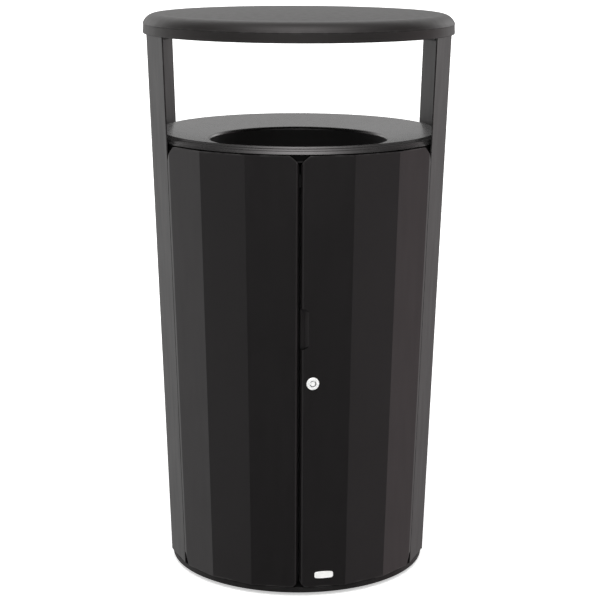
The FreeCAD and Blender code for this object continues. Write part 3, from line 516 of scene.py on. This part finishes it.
def thicken(bm):
    """Give an open sheet its thickness behind its outer face, with an even wall at the folds."""
    layer = bm.verts.layers.float["wear"]
    outer = list(bm.verts)
    inner = {}
    for vertex in outer:
        normal = vertex.normal
        shares = [f.normal.dot(normal) for f in vertex.link_faces]
        even = min(1 / max(min(shares), LEAST_SHARE), MOST_STRETCH)
        copy = bm.verts.new(vertex.co - normal * SHEET * even)
        copy[layer] = vertex[layer] * INNER_WEAR
        inner[vertex] = copy
    border = [edge for edge in bm.edges if len(edge.link_faces) == 1]
    faces = list(bm.faces)
    for face in faces:
        bm.faces.new([inner[v] for v in reversed(face.verts)])
    for edge in border:
        a, b = edge.verts
        bm.faces.new((a, b, inner[b], inner[a]))
    return bm


EDGE_MARKS = tuple(m * MM for m in (2.2, 6, -6, -2.2))


def level_rows(top, count):
    return [WALL_FOOT + (top - WALL_FOOT) * i / count for i in range(1, count)]


WALL_ROWS, POST_ROWS = level_rows(WALL_TOP, 12), level_rows(POST_TOP, 14)


def funnel(distance, wide, tall, curve):
    """How much of a corner is cut off at a distance from its edge, curving into the edge."""
    if distance >= wide:
        return 0.0
    return tall * (1 - (max(distance, 0) / wide) ** (1 / curve))


def door_cut(z, front_wide, front_tall, seam_wide, seam_tall, seam_curve):
    """The cut corners of a door at its top or foot: one at the front gap, one at the side seam."""
    edge_y = on_wall(RIGHT, SEAM, z).y

    def cut(point):
        if abs(point.x) < FRONT_HALF:
            return funnel(abs(point.x) - FRONT_HALF_GAP, front_wide, front_tall, FRONT_CURVE)
        return funnel(edge_y - point.y, seam_wide, seam_tall, seam_curve)
    return cut


FRONT_HALF, FRONT_CURVE = 150 * MM, 1.7
DOOR_TOP_CUT = door_cut(WALL_TOP, 20 * MM, 23 * MM, 24 * MM, 36 * MM, 1.25)
DOOR_FOOT_CUT = door_cut(WALL_FOOT, 13 * MM, 16 * MM, 15 * MM, 27 * MM, 0.3)
FLANGE = 18 * MM
GAP_BEVEL = ((1.5 * MM, 10 * MM), (5.2 * MM, 2.7 * MM), (8.2 * MM, 0))  # across, depth
GAP_FOLDS = [2 * MM, 1 * MM, 0.8 * MM]
WALL_FOLD = 3.5 * MM


def door_line(side):
    def line(z):
        corners = [at_x(side, FRONT_HALF_GAP, z) + Vector((0, FLANGE, 0))]
        corners += [at_x(side, across, z) + Vector((0, depth, 0)) for across, depth in GAP_BEVEL]
        corners += [on_wall(side, azimuth, z) for azimuth in BENDS[:3]]
        corners.append(on_wall(side, SEAM - SEAM_HALF_GAP, z))
        return plan_line(corners, GAP_FOLDS + [WALL_FOLD] * 3)
    return line


# the finger pull: a pressed scoop at the right door's free edge, open towards the gap
pull_low, pull_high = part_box("finger_pull")
PULL_Z, PULL_REACH = (pull_low.z + pull_high.z) / 2, pull_high.x
PULL_HALF, PULL_MITRE, PULL_END = 43.5 * MM, 7 * MM, 0.6 * MM
PULL_FLOOR, PULL_DEPTH = 9.0 * MM, 9.0 * MM


def clamped(share):
    return min(max(share, 0.0), 1.0)


def pull_press(co):
    """How far a point of the right door's face goes in to make the scoop."""
    rise = abs(co.z - PULL_Z)
    if co.y > -0.2 or co.x > PULL_REACH or rise > PULL_HALF:
        return 0.0
    run = PULL_REACH - PULL_FLOOR
    limit = PULL_HALF - PULL_MITRE * clamped((co.x - PULL_FLOOR) / run)
    depth = PULL_DEPTH * clamped((PULL_REACH - co.x) / run) * clamped((limit - rise) / PULL_END)
    return max(0, depth - (co.y - at_x(RIGHT, co.x, co.z).y))


PULL_ROWS = [PULL_Z + s * (PULL_HALF - m * PULL_END) for s in (-1, 1) for m in range(-1, 15)]
DOOR_MARKS = list(EDGE_MARKS) + [m * MM for m in (9, 10.5, 18, 40, 44)]
DOOR_MARKS += [(19 + 1.2 * k) * MM for k in range(16)]
DOOR_MARKS += [-m * MM for m in (1, 3, 5, 8, 12, 15, 18, 21, 24, 27, 32)]

for side, word in SIDES:
    right = side == RIGHT
    rows = sorted(WALL_ROWS + (PULL_ROWS if right else []))
    bm = wall_piece(
        door_line(side), WALL_FOOT, WALL_TOP, DOOR_FOOT_CUT, DOOR_TOP_CUT,
        press=pull_press if right else None, rows=rows, marks=DOOR_MARKS,
    )
    replaced = ["door_" + word] + (["finger_pull"] if right else [])
    door = finished(
        f"door_panel_{word}", bm, panel_coat, f"door_{word}", replaced, 25, 0.4 * MM,
    )
    # painted shade: the scoop's steep end faces get the near-black painted-shade coat in place of
    # their shadow
    door.data.materials.append(painted_shade)
    for face in door.data.polygons:
        middle = face.center
        near_pull = middle.x < PULL_REACH and abs(middle.z - PULL_Z) < PULL_HALF + 2 * MM
        if right and near_pull and abs(face.normal.z) > 0.3:
            face.material_index = 1


def post_line(side):
    def line(z):
        start = SEAM + SEAM_HALF_GAP
        corners = [on_wall(side, a, z) for a in (start, BENDS[3], 180 - BENDS[3], 180 - start)]
        return plan_line(corners, [WALL_FOLD, WALL_FOLD])
    return line


def rear_line(side):
    def line(z):
        angles = (180 - SEAM + SEAM_HALF_GAP,) + RIGHT_ANGLES[6:9] + (180 - SEAM_HALF_GAP,)
        return plan_line([on_wall(side, a, z) for a in angles], [WALL_FOLD] * 3)
    return line


for side, word in SIDES:
    for name, stood_for, line, top, rows in (
        (f"upright_{word}", f"side_upright_{word}", post_line(side), POST_TOP, POST_ROWS),
        (f"rear_wall_{word}", f"rear_panel_{word}", rear_line(side), WALL_TOP, WALL_ROWS),
    ):
        bm = wall_piece(line, WALL_FOOT, top, rows=rows, marks=EDGE_MARKS)
        finished(name, bm, panel_coat, "frame", [stood_for], 40, 0.5 * MM)


# ---- deck, hood and liner, turned about the bin's axis ----

def shoulder(start, end, radius, count):
    """Arc of a given radius between two profile points, bulging outwards."""
    a, b = Vector(start), Vector(end)
    chord = b - a
    rise = radius - math.sqrt(radius ** 2 - chord.length ** 2 / 4)
    out = Vector((chord.y, -chord.x)).normalized()
    middle = (a + b) / 2 + out * rise
    centre = middle - out * radius
    start, end = a - centre, b - centre
    shares = [i / count for i in range(count + 1)]
    return [tuple(centre + start.slerp(end, share) * radius) for share in shares]


deck_low, deck_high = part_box("deck")
DECK_R, DECK_TOP, DECK_FOOT = deck_high.x, deck_high.z, deck_low.z
ROLL = 10.5 * MM
MOUTH_R = 193 * MM
WALL = 3 * MM
RING_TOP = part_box("upper_ring")[1].z
LIP_R, LIP_Z = MOUTH_R + 7 * MM, DECK_TOP - 19 * MM
LIP_CENTRE, LIP_FOLD, LIP_FOLD_INSIDE = (LIP_R + 0.6 * MM, LIP_Z - 7.6 * MM), 7.6 * MM, 4.6 * MM
RIM_FOOT, RIM_STEP = DECK_TOP - 15.5 * MM, 2 * MM
BAND_FOOT = (DECK_R - 0.2 * MM, RIM_FOOT + 0.6 * MM)
BAND_TOP, BAND_BOW = (DECK_R - ROLL + 1 * MM, DECK_TOP - 0.9 * MM), 60 * MM
CREST_CENTRE, CREST = (DECK_R - ROLL - 0.6 * MM, DECK_TOP - 2.2 * MM), 2.2 * MM
SLOPE_R, SLOPE_Z = DECK_R - ROLL - 3.2 * MM, DECK_TOP - 0.62 * MM
SLOPE_STEPS = 8
THROAT_FOOT = DECK_FOOT - 24 * MM
SEAT_R = 287 * MM

profile = [
    (DECK_R - RIM_STEP, RING_TOP), (DECK_R - RIM_STEP, RIM_FOOT), (DECK_R - 0.3 * MM, RIM_FOOT),
]
profile += shoulder(BAND_FOOT, BAND_TOP, BAND_BOW, 12)
profile += arc(CREST_CENTRE, CREST, 45, 92, 6)
for share in [i / SLOPE_STEPS for i in range(SLOPE_STEPS + 1)]:
    profile.append((SLOPE_R + (LIP_R - SLOPE_R) * share, SLOPE_Z + (LIP_Z - SLOPE_Z) * share))
profile += arc(LIP_CENTRE, LIP_FOLD, 95, 180, 10)[1:]
profile += [(MOUTH_R, THROAT_FOOT + 1 * MM), (MOUTH_R + 1 * MM, THROAT_FOOT)]
profile += [(MOUTH_R + WALL - 0.5 * MM, THROAT_FOOT), (MOUTH_R + WALL, THROAT_FOOT + 1 * MM)]
profile += arc(LIP_CENTRE, LIP_FOLD_INSIDE, 180, 95, 8)
profile += [(SLOPE_R, SLOPE_Z - WALL), (DECK_R - ROLL, DECK_TOP - WALL)]
profile += arc((DECK_R - ROLL, DECK_TOP - ROLL), ROLL - WALL, 80, 0, 10)
profile += [(DECK_R - WALL - RIM_STEP, RIM_FOOT), (DECK_R - WALL - RIM_STEP, RING_TOP + WALL)]
profile += [(SEAT_R, RING_TOP + WALL), (SEAT_R, RING_TOP)]
bm = lathe(profile, 256, wear_at=[
    (DECK_R - ROLL, DECK_TOP, 3 * MM), (MOUTH_R + 1.5 * MM, LIP_Z - 3 * MM, 3 * MM),
])
deck = finished("deck_funnel", bm, deck_coat, "frame", ["deck"], sharp=35)
# painted shade: the outer faces below the rim foot, seen in the door notches, get the near-black
# painted-shade coat
deck.data.materials.append(painted_shade)
deck.data.materials.append(throat_coat)
for face in deck.data.polygons:
    outside = math.hypot(face.center.x, face.center.y) > DECK_R - 2 * RIM_STEP
    if outside and face.center.z < RIM_FOOT + 0.1 * MM:
        face.material_index = 1
    elif not outside and face.center.z < LIP_Z - 6 * MM:
        face.material_index = 2

# the hole that the upper slide bolt goes through
ROD_R, CATCH_R = 4 * MM, 7 * MM
bolt_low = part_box("upper_slide_bolt")[0]
drilled(
    deck, bolt_low.x + ROD_R, bolt_low.y + ROD_R,
    RING_TOP - 2 * MM, RING_TOP + WALL + 2 * MM, CATCH_R,
)

hood_low, hood_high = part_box("hood")
HOOD_R, HOOD_FOOT, HOOD_TOP = hood_high.x - 0.1 * MM, hood_low.z, hood_high.z
HOOD_ROUND, HOOD_ROUND_INSIDE = 29 * MM, 26 * MM
CROWN_R, CROWN_Z = HOOD_R - HOOD_ROUND, HOOD_TOP - 7 * MM
SKIRT_Z = HOOD_FOOT + 20.5 * MM
HOOD_WALL = 4 * MM


def crown(radius, drop=0.0):
    """Height of the hood's shallow dome at a radius."""
    sphere = (CROWN_R ** 2 + (HOOD_TOP - CROWN_Z) ** 2) / (2 * (HOOD_TOP - CROWN_Z))
    return HOOD_TOP - drop - (sphere - math.sqrt(sphere ** 2 - radius ** 2))


profile = [(CROWN_R * i / 14, crown(CROWN_R * i / 14)) for i in range(14)]
profile += reversed(shoulder((HOOD_R, SKIRT_Z), (CROWN_R, CROWN_Z), HOOD_ROUND, 18))
# the skirt flares slightly towards its foot
profile += [(HOOD_R - (1.2 - 0.05 * d) * MM, SKIRT_Z - d * MM) for d in (1.0, 4, 7, 13, 16, 19)]
profile += [(HOOD_R - 0.9 * MM, HOOD_FOOT + 0.4 * MM), (HOOD_R - 1.9 * MM, HOOD_FOOT)]
inner_top = (CROWN_R - 2 * MM, CROWN_Z - HOOD_WALL)
inner_side = (HOOD_R - HOOD_WALL, SKIRT_Z - 1.5 * MM)
profile += [(HOOD_R - HOOD_WALL, HOOD_FOOT), inner_side]
profile += shoulder(inner_side, inner_top, HOOD_ROUND_INSIDE, 12)[1:]
inner_radii = [inner_top[0] * (1 - i / 8) for i in range(1, 9)]
profile += [(radius, crown(radius, HOOD_WALL)) for radius in inner_radii]
bm = lathe(profile, 256, closed=False, wear_at=[
    (CROWN_R, CROWN_Z, 5 * MM), (HOOD_R, SKIRT_Z, 2.5 * MM), (HOOD_R, HOOD_FOOT, 2 * MM),
])
finished("hood_cap", bm, hood_coat, "frame", ["hood"], sharp=24)

liner_low, liner_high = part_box("liner")
RIM_R, LINER_TOP, LINER_FOOT = liner_high.x, liner_high.z, liner_low.z
LINER_TOP_R, LINER_FOOT_R, LINER_WALL = RIM_R - 6 * MM, 228 * MM, 4 * MM
LINER_HEIGHT = LINER_TOP - LINER_FOOT
RIM_UNDER = LINER_TOP - 12 * MM


def liner_radius(z):
    return LINER_FOOT_R + (LINER_TOP_R - LINER_FOOT_R) * (z - LINER_FOOT) / LINER_HEIGHT


BEADS = [LINER_FOOT + share * LINER_HEIGHT for share in (0.2, 0.45, 0.7)]
BEAD_WIDTH, BEAD_DEPTH = 7 * MM, 2.2 * MM
LINER_STEPS = 60
outer = []
for i in range(LINER_STEPS + 1):
    z = LINER_FOOT + 8 * MM + (LINER_HEIGHT - 20 * MM) * i / LINER_STEPS
    groove = max(math.exp(-((z - bead) / BEAD_WIDTH) ** 2) for bead in BEADS)
    outer.append((liner_radius(z) - BEAD_DEPTH * groove, z))
profile = [(0, LINER_FOOT + 2 * MM), (LINER_FOOT_R - 30 * MM, LINER_FOOT + 2 * MM)]
profile += [(LINER_FOOT_R - 24 * MM, LINER_FOOT)]
profile += arc((LINER_FOOT_R - 8 * MM, LINER_FOOT + 8 * MM), 8 * MM, -90, -8, 8) + outer
profile += [(liner_radius(RIM_UNDER), RIM_UNDER), (RIM_R - 1.5 * MM, RIM_UNDER)]
profile += [(RIM_R, LINER_TOP - 10 * MM)]
profile += arc((RIM_R - 5 * MM, LINER_TOP - 5 * MM), 5 * MM, 0, 90, 8)
profile += arc((LINER_TOP_R, LINER_TOP - 4 * MM), 4 * MM, 90, 172, 6)
profile += [(r - LINER_WALL + 0.2 * MM, z) for r, z in reversed(outer)]
profile += [(LINER_FOOT_R - 16 * MM, LINER_FOOT + 5 * MM), (0, LINER_FOOT + 5 * MM)]
bm = lathe(profile, 160, closed=False)
finished("liner_bucket", bm, liner_grey, "liner", ["liner"], sharp=45)


# ---- lock and badge on the right door ----

def on_door(bm, seat):
    bmesh.ops.transform(bm, matrix=seat, verts=bm.verts)
    return bm


def walls_between(bm, rings):
    """Walls between outlines that lie one above the other."""
    for lower, upper in zip(rings, rings[1:]):
        for k in range(len(lower)):
            j = (k + 1) % len(lower)
            bm.faces.new((lower[k], lower[j], upper[j], upper[k]))


LOCK_Z = 478 * MM
lock_seat = front_seat(-25.5 * MM, LOCK_Z)
POST_R, KEYWAY_R = 5.15 * MM, 7.0 * MM  # inner and outer radius of the keyway
KEYWAY_FOOT, KEYWAY_RIM = -0.6 * MM, 1.6 * MM
BARREL, BEZEL, DEPTH, PLUG = 9.5 * MM, 13.5 * MM, 20.5 * MM, 6.0 * MM
BEZEL_TOP, BEZEL_ROUND = 2.95 * MM, 2.6 * MM
SLIP = 0.1 * MM


def darkened(piece):
    """Paint the keyway, a ring round the key post, near black below its rim: painted shade in the
    groove.
    """
    piece.data.materials.append(painted_shade)
    for face in piece.data.polygons:
        place = lock_seat.inverted() @ face.center
        across = math.hypot(place.x, place.y)
        if POST_R - SLIP < across < KEYWAY_R + SLIP and place.z < KEYWAY_RIM:
            face.material_index = 1


profile = [(PLUG + 0.05 * MM, -DEPTH), (BARREL, -DEPTH), (BARREL, 0)]
profile += [(BEZEL - 0.3 * MM, 0), (BEZEL, 0.35 * MM)]
profile += arc((BEZEL - BEZEL_ROUND, 0.4 * MM), BEZEL_ROUND, 8, 84, 8)
profile += [(BEZEL - 3.6 * MM, BEZEL_TOP), (KEYWAY_R + 0.2 * MM, BEZEL_TOP), (KEYWAY_R, 2.75 * MM)]
profile += [(KEYWAY_R, KEYWAY_RIM), (KEYWAY_R, KEYWAY_FOOT), (PLUG + 0.05 * MM, KEYWAY_FOOT)]
bm = on_door(lathe(profile, 96), lock_seat)
darkened(finished("lock_case", bm, chrome, "door_right", ["lock_housing"], sharp=30))


# a tubular key plug: its post stands in the keyway, joined to the case by two bright tabs
FACE = 2.3 * MM
profile = [(0, -DEPTH - 0.3 * MM), (PLUG, -DEPTH - 0.3 * MM), (PLUG, KEYWAY_FOOT - 0.05 * MM)]
profile += [(POST_R, KEYWAY_FOOT - 0.05 * MM), (POST_R, KEYWAY_RIM), (POST_R, FACE - 0.3 * MM)]
profile += [(POST_R - 0.3 * MM, FACE), (1.5 * MM, FACE), (1.2 * MM, FACE - 0.25 * MM)]
profile += [(0, FACE - 0.25 * MM)]
bm = on_door(lathe(profile, 72, closed=False), lock_seat)
darkened(finished("lock_key_plug", bm, chrome, "lock_cam", ["lock_plug"], sharp=30))

KEY_TABS = ((deg(175), deg(24)), (deg(66), deg(11)))  # middle and half angle of each
TAB_STEPS, TAB_TOP = 6, 2.1 * MM
bm = bmesh.new()
for tab_angle, tab_half in KEY_TABS:
    angles = [tab_angle - tab_half + 2 * tab_half * k / TAB_STEPS for k in range(TAB_STEPS + 1)]
    outline = [((POST_R - SLIP) * math.cos(a), (POST_R - SLIP) * math.sin(a)) for a in angles]
    outline += [
        ((KEYWAY_R - SLIP) * math.cos(a), (KEYWAY_R - SLIP) * math.sin(a)) for a in reversed(angles)
    ]
    rings = [
        [bm.verts.new((x, y, level)) for x, y in outline] for level in (KEYWAY_FOOT + SLIP, TAB_TOP)
    ]
    bm.faces.new(rings[1])
    bm.faces.new(list(reversed(rings[0])))
    walls_between(bm, rings)
finished("lock_key_tab", on_door(bm, lock_seat), chrome, "lock_cam", sharp=30)

BADGE_Z = 49 * MM
badge_seat = front_seat(3.6 * MM, BADGE_Z)


def badge_outline(inset):
    """Straight ends joined by slightly bowed long sides, with rounded corners."""
    half_w, half_h, corner, bow = 20.2 * MM - inset, 6.4 * MM - inset, 3.6 * MM, 1.4 * MM
    inner_x, inner_y = half_w - corner, half_h - corner
    points = []
    for sx, sy, start in ((1, 1, 0), (-1, 1, 90), (-1, -1, 180), (1, -1, 270)):
        for a in [deg(start + 15 * k) for k in range(7)]:
            across, up = corner * math.cos(a), corner * math.sin(a)
            points.append((sx * inner_x + across, sy * inner_y + up))
        if start in (0, 180):
            points += [(sx * inner_x * (1 - 2 * k / 12), sy * half_h) for k in range(1, 12)]
    bowed = []
    for x, y in points:
        if abs(y) > half_h * 0.4:
            y += math.copysign(bow * (1 - (x / half_w) ** 2), y)
        bowed.append((x, y))
    return bowed


# inset and height of each outline, in millimetres: a raised edge round a flat field
BADGE_LEVELS = (
    (0.0, 0.0), (0.0, 0.9), (0.25, 1.2), (0.7, 1.38), (1.1, 1.38), (1.35, 1.15), (1.7, 1.15),
)
bm = bmesh.new()
rings = [
    [bm.verts.new((x, y, level * MM)) for x, y in badge_outline(inset * MM)]
    for inset, level in BADGE_LEVELS
]
walls_between(bm, rings)
bm.faces.new(rings[-1])
bm.faces.new(list(reversed(rings[0])))
bm = on_door(bm, badge_seat)
finished("badge_blank", bm, badge_face, "door_right", ["badge_plate"], sharp=35)


# ---- base rim: the CAD plate with softened edges ----

BASE_WEAR = 0.15
base = bmesh.new()
base.from_mesh(nodes["base_plate"].data)
bmesh.ops.remove_doubles(base, verts=base.verts, dist=1e-6)
layer = base.verts.layers.float.new("wear")
for vertex in base.verts:
    vertex[layer] = BASE_WEAR
bmesh.ops.dissolve_limit(base, angle_limit=deg(0.5), verts=base.verts, edges=base.edges)
finished("base_pan", base, base_coat, "frame", ["base_plate"], 35, 0.8 * MM)


# ---- floor, light and camera ----

def stage_piece(name, verts, faces, material):
    mesh = bpy.data.meshes.new(name)
    mesh.from_pydata(verts, [], faces)
    mesh.materials.append(material)
    piece = bpy.data.objects.new(name, mesh)
    bpy.context.scene.collection.objects.link(piece)
    piece.visible_glossy = False
    return piece


PALE = ((0.93, 0.93, 0.93), (0.95, 0.95, 0.95))
FLOOR_GLOW, WALL_GLOW = 0.50, 1.0


def pale_material(name, scale, detail, glow):
    material, tree, shader, place = new_tree(name)
    tone = ranged(tree, noise(tree, place, scale, detail), 0, 1)
    tree.links.new(mixed(tree, tone, *PALE), shader.inputs["Base Color"])
    shader.inputs["Emission Color"].default_value = (1, 1, 1, 1)
    shader.inputs["Emission Strength"].default_value = glow
    return material, shader


FAR = 60.0
floor_material, shader = pale_material("studio_floor", 1.2, 2.0, FLOOR_GLOW)
shader.inputs["Roughness"].default_value = 0.9
shader.inputs["Specular IOR Level"].default_value = 0.1
floor_corners = [(-FAR, -FAR, 0), (FAR, -FAR, 0), (FAR, FAR, 0), (-FAR, FAR, 0)]
stage_piece("floor", floor_corners, [(0, 1, 2, 3)], floor_material)

# a pale wall all round at the floor's edge, seen by the camera only
wall_material, _ = pale_material("studio_wall", 0.02, 1.0, WALL_GLOW)
SPANS = 48
bearings = [math.tau * k / SPANS for k in range(SPANS)]
ring = [(FAR * math.sin(a), FAR * math.cos(a)) for a in bearings]
spots = [(x, y, z) for z in (-0.5, FAR) for x, y in ring]
panes = [(k, (k + 1) % SPANS, SPANS + (k + 1) % SPANS, SPANS + k) for k in range(SPANS)]
backdrop = stage_piece("backdrop", spots, panes, wall_material)
backdrop.visible_diffuse = backdrop.visible_shadow = False
backdrop.visible_transmission = backdrop.visible_volume_scatter = False

# soft surround: azimuth, elevation, sharpness, strength and colour of each light
NEUTRAL, ROSY = (1.0, 1.0, 0.995), (1.10, 0.93, 0.95)
SOFT_LIGHTS = (
    (70, -14, 9, 0.30, NEUTRAL), (-70, -14, 9, 0.26, NEUTRAL),
    (80, -14, 60, 0.40, NEUTRAL), (-80, -14, 60, 0.45, NEUTRAL),
    (105, -14, 9, 0.66, ROSY), (-105, -14, 9, 0.74, NEUTRAL),
    (140, -16, 20, 0.47, NEUTRAL), (-140, -16, 20, 0.54, NEUTRAL),
    (-110, 12, 10, 0.18, NEUTRAL), (150, 12, 10, 0.16, NEUTRAL),
    (-150, 12, 10, 0.40, NEUTRAL), (180, 12, 10, 0.15, NEUTRAL),
    (140, 14, 40, 2.30, NEUTRAL), (-140, 14, 40, 1.40, NEUTRAL),
    (160, 42, 9, 0.78, NEUTRAL), (-160, 42, 9, 0.86, NEUTRAL),
    (0, 42, 9, 2.90, NEUTRAL), (0, 66, 12, 3.20, NEUTRAL),
)
world = bpy.data.worlds.new("studio")
bpy.context.scene.world = world
world.use_nodes = True
tree = world.node_tree
background = tree.nodes["Background"]
direction = tree.nodes.new("ShaderNodeTexCoord").outputs["Generated"]


def joined(kind, operation, *values):
    """A maths node whose inputs are given numbers or sockets."""
    node = add(tree, kind, operation=operation)
    for socket, value in zip(node.inputs, values):
        if isinstance(value, (int, float, tuple)):
            socket.default_value = value
        else:
            tree.links.new(value, socket)
    return node


total = None
for azimuth, elevation, sharpness, strength, colour in SOFT_LIGHTS:
    a, e = deg(azimuth), deg(elevation)
    axis = (math.sin(a) * math.cos(e), -math.cos(a) * math.cos(e), math.sin(e))
    facing = joined("ShaderNodeVectorMath", "DOT_PRODUCT", direction, axis).outputs["Value"]
    falloff = joined("ShaderNodeMath", "MULTIPLY_ADD", facing, sharpness, -sharpness).outputs[0]
    glow = joined("ShaderNodeMath", "EXPONENT", falloff).outputs[0]
    light = add(tree, "ShaderNodeVectorMath", operation="SCALE")
    light.inputs[0].default_value = [strength * c for c in colour]
    tree.links.new(glow, light.inputs["Scale"])
    if total is not None:
        light = joined("ShaderNodeVectorMath", "ADD", total.outputs[0], light.outputs[0])
    total = light
tree.links.new(total.outputs[0], background.inputs["Color"])

# the camera that was fitted to the photo: metres from the bin's axis and above its foot, degrees
DISTANCE, HEIGHT, YAW, PITCH, ROLLED = 3.762, 1.430, 0.677, 12.60, 0.2065
middle = (cad_low + cad_high) / 2
camera_data = bpy.data.cameras.new("camera")
camera_data.sensor_width = 36
camera_data.lens = 103.6
camera_data.shift_x = 0.0035
camera_data.clip_end = 200
camera = bpy.data.objects.new("camera", camera_data)
bpy.context.scene.collection.objects.link(camera)
yaw, pitch = deg(YAW), deg(PITCH)
camera.location = (
    middle.x - DISTANCE * math.sin(yaw), middle.y - DISTANCE * math.cos(yaw), cad_low.z + HEIGHT,
)
aim = Vector((math.sin(yaw) * math.cos(pitch), math.cos(yaw) * math.cos(pitch), -math.sin(pitch)))
camera.rotation_mode = "QUATERNION"
roll = Matrix.Rotation(deg(ROLLED), 3, "Z").to_quaternion()
camera.rotation_quaternion = aim.to_track_quat("-Z", "Y") @ roll
bpy.context.scene.camera = camera
bpy.context.scene.view_settings.view_transform = "Standard"
